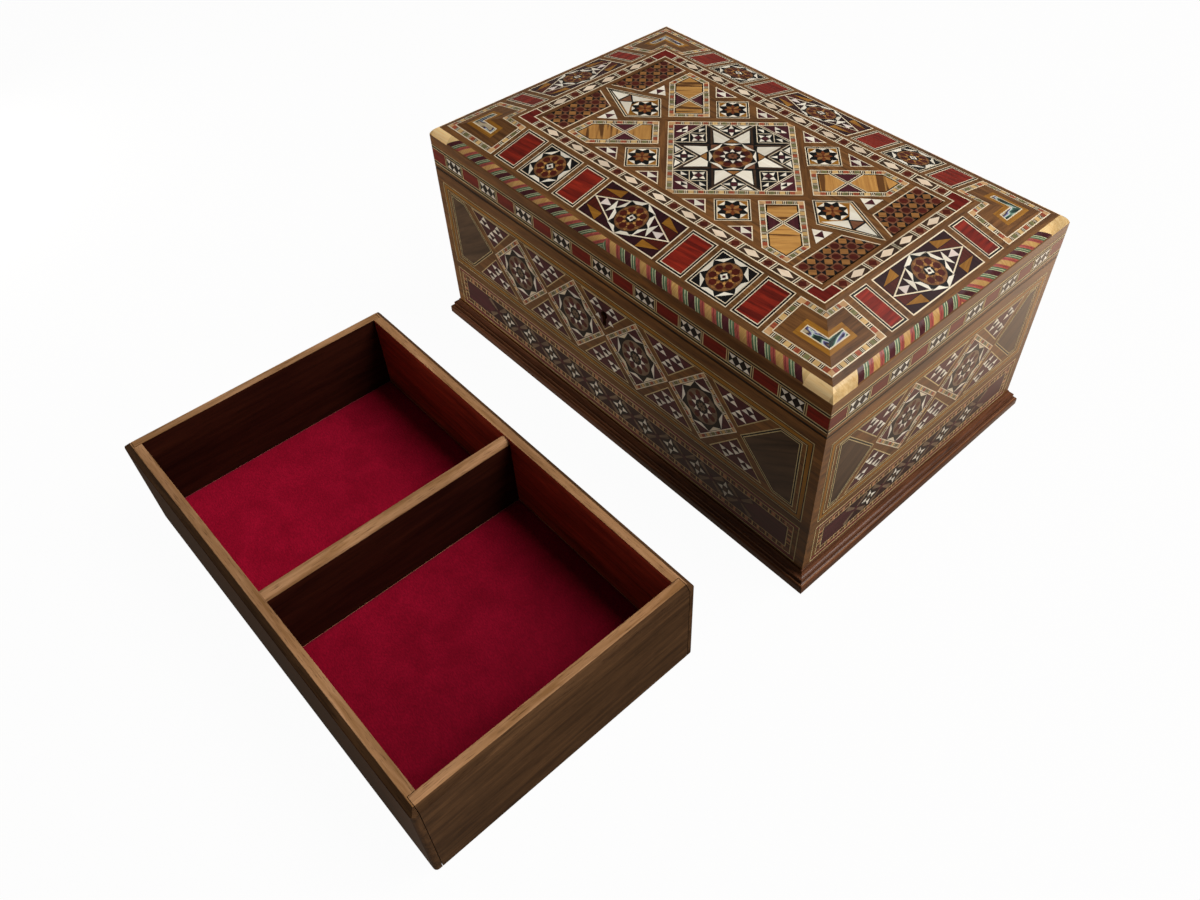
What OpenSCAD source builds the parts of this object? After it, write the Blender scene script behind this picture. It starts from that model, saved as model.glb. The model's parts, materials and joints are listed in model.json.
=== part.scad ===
// Inlaid wooden box with a hinged lid, a box lock and a lift-out tray that stands beside it.
// The origin is the middle of the base, on the table. X runs along the front, Y to the back, Z up.

/* [Box body] */
// Length of the box over its veneers
box_l = 300; // [240:1:360]
// Depth of the box over its veneers, front to back
box_w = 190; // [150:1:240]
// Height of the body, from the table to the lid seam
body_h = 113; // [100:1:150]
// Thickness of a wall with its veneer
wall_t = 16; // [14:0.5:20]
// Thickness of the marquetry veneers
veneer_t = 1.5; // [1:0.1:2.5]
// Lip of a long wall that covers the end of a short wall
corner_lip = 6; // [4:0.5:9]
// Thickness of the floor board
floor_t = 8; // [6:0.5:12]
// Depth that the floor board is let into the walls
floor_groove = 5; // [3:0.5:7]
// Thickness of the velvet linings
velvet_t = 1; // [0.6:0.1:2]
// Gap between a velvet lining and what stands round it
velvet_gap = 0.3; // [0.2:0.1:0.8]
// Width of the ledges that carry the tray
ledge_w = 9; // [6:0.5:14]
// Height of the ledges that carry the tray
ledge_h = 12; // [8:0.5:20]

/* [Plinth] */
// Height of the plinth moulding
plinth_h = 12; // [11:0.5:16]
// Distance that the plinth stands out from the body
plinth_out = 5.3; // [4.6:0.1:8]
// Height of the upright nose of the plinth
plinth_nose_h = 4.6; // [3.5:0.1:5]
// Radius of the round above the nose
plinth_ovolo_r = 2; // [1:0.1:2.4]
// Radius of the round under the nose
plinth_foot_r = 1.2; // [0.6:0.1:1.6]
// Width of the square edge at the top of the plinth
plinth_fillet = 0.7; // [0.4:0.1:1.2]
// Radius of the hollow below that edge
plinth_cove_r = 2.3; // [1.5:0.1:2.4]

/* [Lid] */
// Height of the lid's sides, from the seam to the top of the striped edge band
lid_h = 26.1; // [24:0.1:40]
// Height of the flat top above the edge band
lid_rise = 7.3; // [2:0.1:15]
// Width of the sloping borders round the flat top, in plan
slope_w = 32; // [20:0.5:50]
// Gap between the lid and the body
seam_gap = 0.4; // [0.3:0.1:0.8]
// Thickness of the lid's board at its edges, behind the marquetry
lid_board_t = 8; // [6:0.5:12]
// Width and height of the striped edge band
edge_r = 4.5; // [3:0.1:6]
// Distance that the middle of the band's curve lies further in and lower than a quarter round's
edge_flat = 3; // [0.5:0.5:8]
// Length of a pale corner block along each side
corner_block_l = 17; // [10:0.5:30]

/* [Hinges] */
// Distance from an end of the box to the middle of a hinge
hinge_end = 62; // [48:1:80]
// Length of a hinge
hinge_l = 40; // [32:1:44]
// Depth of a leaf in the wall
leaf_w = 11; // [9:0.5:13]
// Thickness of a leaf
leaf_t = 1.2; // [1:0.1:1.6]
// Radius of the knuckles
knuckle_r = 2.6; // [2.4:0.1:3.2]
// Gap between two knuckles, and round them
knuckle_gap = 0.3; // [0.3:0.05:0.5]
// Radius of the hinge pin
pin_r = 1.2; // [1:0.1:1.4]
// Running clearance of the pin
pin_clear = 0.05; // [0.02:0.01:0.1]
// Radius of the pin's head
pin_head_r = 1.9; // [1.7:0.1:2.3]
// Thickness of the pin's head
pin_head_t = 0.8; // [0.5:0.1:1.2]

/* [Screws] */
// Radius of a screw's head
screw_head_r = 2.1; // [1.9:0.1:2.4]
// Radius of a screw's shank
screw_r = 1.1; // [0.9:0.05:1.3]
// Length of a hinge screw
screw_l = 9; // [7:0.5:11]
// Length of a lock screw
lock_screw_l = 4; // [3:0.5:5]
// Clearance round a screw
screw_clear = 0.05; // [0.02:0.01:0.1]
// Width of a screw's slot
screw_slot = 0.6; // [0.4:0.1:0.8]
// Spacing of the screws in a leaf
screw_pitch = 13; // [11:0.5:14]

/* [Lock] */
// Distance from the seam down to the middle of the keyhole's round part
key_drop = 21.5; // [19:0.5:26]
// Radius of the keyhole's round part
key_r = 2.5; // [2:0.1:3]
// Width of the keyhole's slot
key_slot_w = 2.4; // [1.6:0.1:3]
// Length of the keyhole's slot below the round part's middle
key_slot_l = 7; // [5:0.5:7.5]
// Depth of the lock in the front wall
lock_d = 9; // [8.5:0.1:10]
// Thickness of the lock's brass plates
lock_plate_t = 1.2; // [1:0.1:1.5]
// Distance of the lock plate's screws from its top and lower edges
lock_screw_edge = 6.5; // [5:0.5:10]
// Width of the lock plate beside the case
lock_flange = 8; // [6:0.5:12]
// Height of the lock plate below the case
lock_foot = 2; // [1:0.5:5]
// Wall of the lock case
case_wall = 1; // [0.8:0.1:1.2]
// Length of the bolt
bolt_l = 16; // [16:0.5:20]
// Height of the bolt
bolt_h = 4; // [3:0.1:4.5]
// Thickness of the bolt
bolt_t = 2.8; // [2.4:0.1:3]
// Distance of the bolt's tip from the middle of the lock when unlocked
bolt_tip = 9; // [8.5:0.1:11]
// Distance from the seam down to the top of the bolt
bolt_drop = 4; // [3.5:0.1:5]
// Clearance of the bolt in its guides and in the strike
bolt_clear = 0.3; // [0.2:0.05:0.4]
// Distance from the bolt's tip to the strike's loop when unlocked
bolt_lead = 1; // [0.6:0.1:1.5]
// Distance that the locked bolt reaches past the loop
bolt_past = 1.5; // [1:0.1:2]
// Room in the case past the locked bolt
bolt_spare = 2; // [1:0.1:3]
// Width of the bolt's tail above the key
tail_w = 8; // [6.5:0.1:8.5]
// Width and height of the notch in the tail that the key turns in
talon = 3; // [2.6:0.1:4]
// Thickness of the strike's loop along the bolt
loop_t = 2.5; // [2:0.1:2.8]
// Width of the metal round the strike's window
loop_rim = 0.9; // [0.7:0.05:0.9]
// Clearance of the loop in the lock plate
loop_clear = 0.7; // [0.5:0.1:0.8]
// Length of the strike plate past the loop
strike_end = 9.5; // [7:0.5:12]
// Width of the strike plate
strike_w = 8; // [7:0.1:8.5]

/* [Tray] */
// Gap between the tray and the walls of the box when it is inside
tray_gap = 1.75; // [1:0.05:3]
// Height of the tray
tray_h = 60; // [45:1:70]
// Depth of the tray's rim below the seam when it is inside
tray_drop = 1; // [0.5:0.5:5]
// Thickness of the tray walls
tray_wall_t = 7.5; // [6:0.1:9]
// Lip of a long tray wall that covers the end of a short one
tray_lip = 3.5; // [2:0.1:4]
// Gap that the glue leaves between a short tray wall and the long ones
tray_joint_gap = 0.3; // [0.1:0.1:0.6]
// Width of the slope on the outer edge of the rim
tray_chamfer = 3; // [1:0.1:4]
// Radius of the tray's upright outer edges
tray_corner_r = 2; // [0.5:0.1:3]
// Thickness of the tray bottom
tray_bottom_t = 5; // [4:0.5:7]
// Height of the tray bottom above the tray's lower edge
tray_bottom_z = 5.5; // [3:0.5:8]
// Depth that the tray bottom is let into the walls
tray_groove = 3; // [2:0.1:3.4]
// Thickness of the divider
divider_t = 7; // [5:0.5:9]
// Depth of the divider's top below the rim
divider_drop = 1; // [0.5:0.1:3]
// Distance between the tray and the plinth on the table
tray_apart = 64; // [20:1:120]
// Sideways place of the tray on the table
tray_x = 7.5; // [-60:0.5:60]

/* [Hidden] */
// Overshoot of a cut past the face that it opens
over = 1;
// Smoothness of round shapes
$fn = 48;
core_t = wall_t - veneer_t;
core_l = box_l - 2 * veneer_t;
core_w = box_w - 2 * veneer_t;
inner_l = box_l - 2 * wall_t;
inner_w = box_w - 2 * wall_t;
lid_z = body_h + seam_gap;
top_z = lid_z + lid_h;
board_top = top_z - veneer_t;
board_z = board_top - lid_board_t;
edge_z = top_z - edge_r;
edge_curve_r = sqrt(pow(edge_r + edge_flat, 2) + pow(edge_flat, 2));
rim_l = box_l - 2 * edge_r;
rim_w = box_w - 2 * edge_r;
axis_y = box_w / 2 + knuckle_r + knuckle_gap;
axis_z = body_h + seam_gap / 2;
hinge_x = box_l / 2 - hinge_end;
knuckle_count = 5;
knuckle_l = hinge_l / knuckle_count;
leaf_y = box_w / 2 - leaf_w;
screw_y = leaf_y + leaf_w / 2;
key_z = body_h - key_drop;
lock_y = -inner_w / 2 - lock_d;
bolt_y = lock_y + case_wall + (lock_d - lock_plate_t - case_wall) / 2;
bolt_top = body_h - bolt_drop;
bolt_x = bolt_tip - bolt_l;
bolt_throw = bolt_lead + loop_t + bolt_past;
tail_x = -(bolt_throw + tail_w) / 2;
tail_z = key_z + key_slot_l - talon;
guide_z = bolt_top - bolt_h - bolt_clear;
loop_x = bolt_tip + bolt_lead;
loop_w = bolt_t + 2 * bolt_clear + 2 * loop_rim;
loop_bottom = bolt_top - bolt_h - bolt_clear - loop_rim;
case_w = 2 * (bolt_tip + bolt_throw + bolt_spare + case_wall);
case_h = key_drop + key_slot_l + key_slot_w / 2 + case_wall - lock_plate_t;
lock_w = case_w + 2 * lock_flange;
lock_h = lock_plate_t + case_h + lock_foot;
lock_screw_x = (case_w + lock_flange) / 2;
lock_screw_top = body_h - lock_screw_edge;
lock_screw_low = body_h - lock_h + lock_screw_edge;
strike_l = 2 * (loop_x + loop_t + strike_end);
strike_screw_x = (strike_l - strike_end) / 2;
tray_l = inner_l - 2 * tray_gap;
tray_w = inner_w - 2 * tray_gap;
tray_y = -box_w / 2 - plinth_out - tray_apart - tray_w / 2;
tray_inner_l = tray_l - 2 * tray_wall_t;
tray_inner_w = tray_w - 2 * tray_wall_t;
tray_floor_z = tray_bottom_z + tray_bottom_t;
seat_z = body_h - tray_drop - tray_h;
cell_l = (tray_inner_l - divider_t) / 2;

walnut = "#6b4a2c";
dark_walnut = "#4f3320";
mahogany = "#5c2a14";
inlay = "#7a4a2a";
striped = "#c07a58";
lemonwood = "#e2c07c";
crimson = "#8a0a26";
brass = "#b89a55";

// A block centred on the Z axis, standing on height z
module block(l, w, h, z) {
  translate([-l / 2, -w / 2, z]) cube([l, w, h]);
}

// A section with Y across and Z up, carried l along X
module along_x(l) {
  rotate([0, 0, 90]) rotate([90, 0, 0]) translate([0, 0, -l / 2]) linear_extrude(l) children();
}

// A slab from height z whose top slopes down to height rim at both sides across Y
module sloped_slab(l, w, z, rim, run, rise) {
  along_x(l) polygon([
    [-w / 2, z], [w / 2, z], [w / 2, rim], [w / 2 - run, rim + rise],
    [-w / 2 + run, rim + rise], [-w / 2, rim]
  ]);
}

// The same with slopes on all four sides
module hipped_slab(l, w, z, rim, run, rise) {
  intersection() {
    sloped_slab(l, w, z, rim, run, rise);
    rotate([0, 0, 90]) sloped_slab(w, l, z, rim, run, rise);
  }
}

// A board across an end of a frame, on the side that end names with -1 or 1
module short_board(end, l, w, t, lip, h, z) {
  translate([end * (l - t) / 2, 0, 0]) block(t, w - 2 * lip, h, z);
}

// A board along a side of a frame, rabbeted for the short boards
module long_board(side, l, w, t, lip, h, z) {
  difference() {
    translate([0, side * (w - t) / 2, 0]) block(l, t, h, z);
    for (end = [-1, 1]) short_board(end, l, w, t, lip, h + 2 * over, z - over);
  }
}

// The room that the floor board takes out of the walls
module floor_room() {
  block(inner_l + 2 * floor_groove, inner_w + 2 * floor_groove, floor_t + over, -over);
}

module body_long_wall(side) {
  difference() {
    long_board(side, core_l, core_w, core_t, corner_lip, body_h, 0);
    floor_room();
  }
}

module body_short_wall(end) {
  difference() {
    short_board(end, core_l, core_w, core_t, corner_lip, body_h, 0);
    floor_room();
  }
}

// A keyhole cut along Y through the front of the box
module keyhole(from_y, depth) {
  translate([0, from_y + depth, key_z]) rotate([90, 0, 0]) {
    linear_extrude(depth) {
      circle(key_r);
      translate([0, -key_slot_l]) circle(key_slot_w / 2);
      translate([-key_slot_w / 2, -key_slot_l]) square([key_slot_w, key_slot_l]);
    }
  }
}

// Room for the two leaves of a hinge in a wall or a veneer, from height z
module leaf_room(z, h) {
  for (side = [-1, 1])
    translate([side * hinge_x - hinge_l / 2, leaf_y, z]) cube([hinge_l, leaf_w + over, h]);
}

// A countersunk screw whose head is flush at the origin, with its shank down Z and a clearance all round
module screw(l, clear) {
  head_h = screw_head_r - screw_r;
  translate([0, 0, -head_h - clear])
    cylinder(r1 = screw_r + clear, r2 = screw_head_r + clear, h = head_h + clear);
  translate([0, 0, -l - clear]) cylinder(r = screw_r + clear, h = l + clear);
}

module slotted_screw(l) {
  difference() {
    screw(l, 0);
    translate([-screw_head_r - over, -screw_slot / 2, -screw_slot])
      cube([2 * screw_head_r + 2 * over, screw_slot, over]);
  }
}

// The places of the hinge screws: up is 1 for the body's leaves and -1 for the lid's
module at_hinge_screws(up) {
  z = up > 0 ? body_h : lid_z;
  for (side = [-1, 1])
    for (k = [-1, 0, 1])
      translate([side * hinge_x + k * screw_pitch, screw_y, z]) rotate([up > 0 ? 0 : 180, 0, 0]) children();
}

// The places of the lock plate's screws, driven from inside the box
module at_lock_screws() {
  for (side = [-1, 1])
    for (z = [lock_screw_low, lock_screw_top])
      translate([side * lock_screw_x, -inner_w / 2, z]) rotate([-90, 0, 0]) children();
}

// The places of the strike's screws, driven up into the lid
module at_strike_screws() {
  for (side = [-1, 1])
    translate([side * strike_screw_x, bolt_y, lid_z]) rotate([180, 0, 0]) children();
}

// The outer shape of the lock case
module case_block() {
  translate([-case_w / 2, lock_y, body_h - lock_plate_t - case_h])
    cube([case_w, lock_d - lock_plate_t, case_h]);
}

// The plate on the inner face and the selvedge on the top edge of the front wall
module lock_angle() {
  translate([-lock_w / 2, -inner_w / 2 - lock_plate_t, body_h - lock_h])
    cube([lock_w, lock_plate_t, lock_h]);
  translate([-lock_w / 2, lock_y, body_h - lock_plate_t]) cube([lock_w, lock_d, lock_plate_t]);
}

// Room for the loop of the strike in the lock
module loop_room() {
  translate([loop_x - loop_clear, bolt_y - loop_w / 2 - loop_clear, loop_bottom - loop_clear])
    cube([loop_t + 2 * loop_clear, loop_w + 2 * loop_clear, body_h + over - loop_bottom + loop_clear]);
}

module front_wall() {
  color(dark_walnut) difference() {
    body_long_wall(-1);
    case_block();
    lock_angle();
    keyhole(-box_w / 2 - over, wall_t - lock_d + 2 * over);
    at_lock_screws() screw(lock_screw_l, screw_clear);
  }
}

module back_wall() {
  color(dark_walnut) difference() {
    body_long_wall(1);
    leaf_room(body_h - leaf_t, leaf_t + over);
    at_hinge_screws(1) screw(screw_l, screw_clear);
  }
}

module left_wall() {
  color(dark_walnut) body_short_wall(-1);
}

module right_wall() {
  color(dark_walnut) body_short_wall(1);
}

module floor_board() {
  color(walnut) block(inner_l + 2 * floor_groove, inner_w + 2 * floor_groove, floor_t, 0);
}

module floor_lining() {
  color(crimson) block(inner_l - 2 * velvet_gap, inner_w - 2 * velvet_gap, velvet_t, floor_t);
}

module tray_ledge(end) {
  color(walnut) translate([end * (inner_l - ledge_w) / 2, 0, 0])
    block(ledge_w, inner_w, ledge_h, seat_z - ledge_h);
}

module left_tray_ledge() {
  tray_ledge(-1);
}

module right_tray_ledge() {
  tray_ledge(1);
}

// Section of the plinth: X stands out from the body, Y is height
module plinth_section() {
  cove_z = plinth_h - plinth_fillet;
  step_out = plinth_out - plinth_ovolo_r;
  square([plinth_fillet, plinth_h]);
  difference() {
    square([plinth_fillet + plinth_cove_r, cove_z]);
    translate([plinth_fillet + plinth_cove_r, cove_z]) circle(plinth_cove_r);
  }
  square([step_out, cove_z - plinth_cove_r]);
  translate([step_out, plinth_nose_h]) circle(plinth_ovolo_r);
  translate([0, plinth_foot_r]) square([plinth_out, plinth_nose_h - plinth_foot_r]);
  square([plinth_out - plinth_foot_r, plinth_nose_h]);
  translate([plinth_out - plinth_foot_r, plinth_foot_r]) circle(plinth_foot_r);
}

// A length of plinth against a face l long at distance d from the middle, mitred at both ends, facing -Y
module plinth_length(l, d) {
  reach = l / 2 + plinth_out;
  intersection() {
    translate([reach, -d, 0]) rotate([0, 0, -90]) rotate([90, 0, 0])
      linear_extrude(2 * reach) plinth_section();
    translate([0, -d, 0])
      linear_extrude(plinth_h)
        polygon([[-l / 2, 0], [l / 2, 0], [reach, -plinth_out], [-reach, -plinth_out]]);
  }
}

module front_plinth() {
  color(mahogany) plinth_length(box_l, box_w / 2);
}

module back_plinth() {
  color(mahogany) rotate([0, 0, 180]) plinth_length(box_l, box_w / 2);
}

module left_plinth() {
  color(mahogany) rotate([0, 0, -90]) plinth_length(box_w, box_l / 2);
}

module right_plinth() {
  color(mahogany) rotate([0, 0, 90]) plinth_length(box_w, box_l / 2);
}

// A veneer on a long face: side is -1 in front and 1 behind
module long_veneer(side, h, z) {
  translate([0, side * (box_w - veneer_t) / 2, 0]) block(box_l, veneer_t, h, z);
}

// A veneer on a short face, between the long ones
module short_veneer(end, h, z) {
  translate([end * (box_l - veneer_t) / 2, 0, 0]) block(veneer_t, core_w, h, z);
}

module front_marquetry() {
  color(inlay) difference() {
    long_veneer(-1, body_h, 0);
    keyhole(-box_w / 2 - over, wall_t);
  }
}

module back_marquetry() {
  color(inlay) difference() {
    long_veneer(1, body_h, 0);
    leaf_room(body_h - leaf_t, leaf_t + over);
  }
}

module left_marquetry() {
  color(inlay) short_veneer(-1, body_h, 0);
}

module right_marquetry() {
  color(inlay) short_veneer(1, body_h, 0);
}

// A cylinder on the hinge axis, for knuckle number i, grown by gap at both ends and all round
module knuckle(i, r, gap) {
  translate([i * knuckle_l - hinge_l / 2 - gap, axis_y, axis_z])
    rotate([0, 90, 0]) cylinder(r = r, h = knuckle_l + 2 * gap);
}

// A hinge leaf with every second knuckle, counted from first
module leaf(side, first, z) {
  translate([side * hinge_x, 0, 0]) difference() {
    union() {
      translate([-hinge_l / 2, leaf_y, z]) cube([hinge_l, axis_y - leaf_y, leaf_t]);
      for (i = [first : 2 : knuckle_count - 1]) knuckle(i, knuckle_r, 0);
    }
    for (i = [1 - first : 2 : knuckle_count - 1]) knuckle(i, knuckle_r + knuckle_gap, knuckle_gap / 2);
    translate([-hinge_l / 2 - over, axis_y, axis_z])
      rotate([0, 90, 0]) cylinder(r = pin_r + pin_clear, h = hinge_l + 2 * over);
  }
}

module body_leaf(side) {
  color(brass) difference() {
    leaf(side, 0, body_h - leaf_t);
    at_hinge_screws(1) screw(screw_l, screw_clear);
  }
}

module lid_leaf(side) {
  color(brass) difference() {
    leaf(side, 1, lid_z);
    at_hinge_screws(-1) screw(screw_l, screw_clear);
  }
}

module left_hinge_body_leaf() {
  body_leaf(-1);
}

module right_hinge_body_leaf() {
  body_leaf(1);
}

module left_hinge_lid_leaf() {
  lid_leaf(-1);
}

module right_hinge_lid_leaf() {
  lid_leaf(1);
}

// Two pins, each with a flat head against the end knuckles
module hinge_pins() {
  color(brass)
    for (side = [-1, 1])
      translate([side * hinge_x - hinge_l / 2, axis_y, axis_z]) rotate([0, 90, 0]) {
        cylinder(r = pin_r, h = hinge_l);
        translate([0, 0, -pin_head_t]) cylinder(r = pin_head_r, h = pin_head_t);
        translate([0, 0, hinge_l]) cylinder(r = pin_head_r, h = pin_head_t);
      }
}

module hinge_body_screws() {
  color(brass) at_hinge_screws(1) slotted_screw(screw_l);
}

module hinge_lid_screws() {
  color(brass) at_hinge_screws(-1) slotted_screw(screw_l);
}

// A guide under the bolt, from x0 to x1
module bolt_guide(x0, x1) {
  translate([x0, lock_y, guide_z - case_wall]) cube([x1 - x0, lock_d - lock_plate_t, case_wall]);
}

// A case open towards the lock plate, with a keyhole in front and guides on both sides of the bolt's tail
module lock_case() {
  color(brass) {
    difference() {
      case_block();
      translate([-case_w / 2 + case_wall, lock_y + case_wall, body_h - lock_plate_t - case_h + case_wall])
        cube([case_w - 2 * case_wall, lock_d, case_h - 2 * case_wall]);
      keyhole(lock_y - over, case_wall + 2 * over);
      loop_room();
    }
    bolt_guide(-case_w / 2, tail_x - bolt_clear);
    bolt_guide(tail_x + tail_w + bolt_throw + bolt_clear, loop_x - 2 * loop_clear);
  }
}

module lock_plate() {
  color(brass) difference() {
    lock_angle();
    loop_room();
    at_lock_screws() screw(lock_screw_l, screw_clear);
  }
}

module lock_screws() {
  color(brass) at_lock_screws() slotted_screw(lock_screw_l);
}

// A bar with a tail that reaches down to the key
module lock_bolt() {
  color(brass) translate([0, bolt_y - bolt_t / 2, 0]) difference() {
    union() {
      translate([bolt_x, 0, bolt_top - bolt_h]) cube([bolt_l, bolt_t, bolt_h]);
      translate([tail_x, 0, tail_z]) cube([tail_w, bolt_t, bolt_top - tail_z]);
    }
    translate([-(bolt_throw + talon) / 2, -over, tail_z - over])
      cube([talon, bolt_t + 2 * over, talon + over]);
  }
}

module lid_long_rail(side) {
  long_board(side, core_l, core_w, core_t, corner_lip, board_z - lid_z, lid_z);
}

module lid_short_rail(end) {
  short_board(end, core_l, core_w, core_t, corner_lip, board_z - lid_z, lid_z);
}

// The plate of the strike in the lid's rim
module strike_plate() {
  translate([-strike_l / 2, bolt_y - strike_w / 2, lid_z]) cube([strike_l, strike_w, lock_plate_t]);
}

module lid_front_rail() {
  color(dark_walnut) difference() {
    lid_long_rail(-1);
    strike_plate();
    at_strike_screws() screw(screw_l, screw_clear);
  }
}

module lid_back_rail() {
  color(dark_walnut) difference() {
    lid_long_rail(1);
    leaf_room(lid_z - over, leaf_t + over);
    at_hinge_screws(-1) screw(screw_l, screw_clear);
  }
}

module lid_left_rail() {
  color(dark_walnut) lid_short_rail(-1);
}

module lid_right_rail() {
  color(dark_walnut) lid_short_rail(1);
}

// A thick board with a raised flat top and four sloping borders
module lid_top_board() {
  color(dark_walnut) {
    block(core_l, core_w, edge_z - board_z, board_z);
    hipped_slab(rim_l, rim_w, board_z, board_top, slope_w, lid_rise);
  }
}

module lid_top_marquetry() {
  color(inlay) block(rim_l - 2 * slope_w, rim_w - 2 * slope_w, veneer_t, board_top + lid_rise);
}

// A sloping veneer on a rim l long at distance d from the middle, mitred on the hips, facing -Y
module slope_veneer(l, d) {
  intersection() {
    along_x(l) polygon([
      [-d, board_top], [slope_w - d, board_top + lid_rise], [slope_w - d, top_z + lid_rise], [-d, top_z]
    ]);
    translate([0, -d, board_top])
      linear_extrude(lid_rise + veneer_t)
        polygon([[-l / 2, 0], [l / 2, 0], [l / 2 - slope_w, slope_w], [slope_w - l / 2, slope_w]]);
  }
}

module lid_front_slope() {
  color(inlay) slope_veneer(rim_l, rim_w / 2);
}

module lid_back_slope() {
  color(inlay) rotate([0, 0, 180]) slope_veneer(rim_l, rim_w / 2);
}

module lid_left_slope() {
  color(inlay) rotate([0, 0, -90]) slope_veneer(rim_w, rim_l / 2);
}

module lid_right_slope() {
  color(inlay) rotate([0, 0, 90]) slope_veneer(rim_w, rim_l / 2);
}

module lid_front_marquetry() {
  color(inlay) long_veneer(-1, edge_z - lid_z, lid_z);
}

module lid_back_marquetry() {
  color(inlay) difference() {
    long_veneer(1, edge_z - lid_z, lid_z);
    leaf_room(lid_z - over, leaf_t + over);
  }
}

module lid_left_marquetry() {
  color(inlay) short_veneer(-1, edge_z - lid_z, lid_z);
}

module lid_right_marquetry() {
  color(inlay) short_veneer(1, edge_z - lid_z, lid_z);
}

// A gently rounded band l long on the edge at distance d from the middle, facing -Y
module edge_band(l, d) {
  translate([l / 2, -d + edge_r, edge_z]) rotate([0, 0, -90]) rotate([90, 0, 0]) linear_extrude(l)
    intersection() {
      translate([-edge_flat, -edge_flat]) circle(edge_curve_r);
      square(edge_curve_r);
    }
}

module lid_front_edge() {
  color(striped) edge_band(box_l - 2 * corner_block_l, box_w / 2);
}

module lid_back_edge() {
  color(striped) rotate([0, 0, 180]) edge_band(box_l - 2 * corner_block_l, box_w / 2);
}

module lid_left_edge() {
  color(striped) rotate([0, 0, -90]) edge_band(box_w - 2 * corner_block_l, box_l / 2);
}

module lid_right_edge() {
  color(striped) rotate([0, 0, 90]) edge_band(box_w - 2 * corner_block_l, box_l / 2);
}

// The rounded bands of two facing sides with all that lies between them, over the whole lid
module rounded_slab(l, w) {
  edge_band(l, w / 2);
  rotate([0, 0, 180]) edge_band(l, w / 2);
  block(l, w - 2 * edge_r, edge_r, edge_z);
}

// Four mitred blocks: where both pairs of rounded sides meet, less the middle of the lid and the bands
module lid_corner_blocks() {
  color(lemonwood) difference() {
    intersection() {
      rounded_slab(box_l, box_w);
      rotate([0, 0, 90]) rounded_slab(box_w, box_l);
    }
    block(rim_l, rim_w, edge_r + 2 * over, edge_z - over);
    block(box_l - 2 * corner_block_l, box_w + 2 * over, edge_r + 2 * over, edge_z - over);
    block(box_l + 2 * over, box_w - 2 * corner_block_l, edge_r + 2 * over, edge_z - over);
  }
}

module lid_lining() {
  color(crimson) block(inner_l - 2 * velvet_gap, inner_w - 2 * velvet_gap, velvet_t, board_z - velvet_t);
}

// A plate with a loop below it, through whose window the bolt slides
module lock_strike() {
  window_w = bolt_t + 2 * bolt_clear;
  window_h = bolt_h + 2 * bolt_clear;
  color(brass) difference() {
    union() {
      strike_plate();
      translate([loop_x, bolt_y - loop_w / 2, loop_bottom])
        cube([loop_t, loop_w, lid_z + lock_plate_t - loop_bottom]);
    }
    translate([loop_x - over, bolt_y - window_w / 2, loop_bottom + loop_rim])
      cube([loop_t + 2 * over, window_w, window_h]);
    at_strike_screws() screw(screw_l, screw_clear);
  }
}

module lock_strike_screws() {
  color(brass) at_strike_screws() slotted_screw(screw_l);
}

// Puts a tray piece beside the box
module on_table() {
  translate([tray_x, tray_y, 0]) children();
}

// The room that the tray bottom takes out of the tray walls
module tray_bottom_block() {
  block(tray_inner_l + 2 * tray_groove, tray_inner_w + 2 * tray_groove, tray_bottom_t, tray_bottom_z);
}

// The whole tray as one block with rounded upright edges
module tray_outline() {
  linear_extrude(tray_h) {
    square([tray_l - 2 * tray_corner_r, tray_w], center = true);
    square([tray_l, tray_w - 2 * tray_corner_r], center = true);
    for (x = [-1, 1], y = [-1, 1])
      translate([x * (tray_l / 2 - tray_corner_r), y * (tray_w / 2 - tray_corner_r)]) circle(tray_corner_r);
  }
}

// Rounds the upright edges, slopes the outer edge of the rim and grooves the walls for the bottom
module tray_walls_trim() {
  difference() {
    intersection() {
      children();
      tray_outline();
      hipped_slab(tray_l, tray_w, 0, tray_h - tray_chamfer, tray_chamfer, tray_chamfer);
    }
    tray_bottom_block();
  }
}

// A wall along the tray, rabbeted at its ends for the short walls and their glue
module tray_long_wall(side) {
  color(walnut) on_table() tray_walls_trim() difference() {
    translate([0, side * (tray_w - tray_wall_t) / 2, 0]) block(tray_l, tray_wall_t, tray_h, 0);
    for (end = [-1, 1])
      short_board(end, tray_l, tray_w, tray_wall_t + tray_joint_gap, tray_lip, tray_h + 2 * over, -over);
  }
}

module tray_short_wall(end) {
  color(walnut) on_table() tray_walls_trim()
    short_board(end, tray_l, tray_w, tray_wall_t, tray_lip + tray_joint_gap, tray_h, 0);
}

module tray_front_wall() {
  tray_long_wall(-1);
}

module tray_back_wall() {
  tray_long_wall(1);
}

module tray_left_wall() {
  tray_short_wall(-1);
}

module tray_right_wall() {
  tray_short_wall(1);
}

module tray_bottom() {
  color(walnut) on_table() tray_bottom_block();
}

// A board across the middle of the tray with a half-round top
module tray_divider() {
  round_z = tray_h - divider_drop - divider_t / 2;
  color(walnut) on_table() {
    block(divider_t, tray_inner_w, round_z - tray_floor_z, tray_floor_z);
    translate([0, tray_inner_w / 2, round_z]) rotate([90, 0, 0]) cylinder(d = divider_t, h = tray_inner_w);
  }
}

module tray_lining(end) {
  color(crimson) on_table() translate([end * (divider_t + cell_l) / 2, 0, 0])
    block(cell_l - 2 * velvet_gap, tray_inner_w - 2 * velvet_gap, velvet_t, tray_floor_z);
}

module tray_left_lining() {
  tray_lining(-1);
}

module tray_right_lining() {
  tray_lining(1);
}

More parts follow.
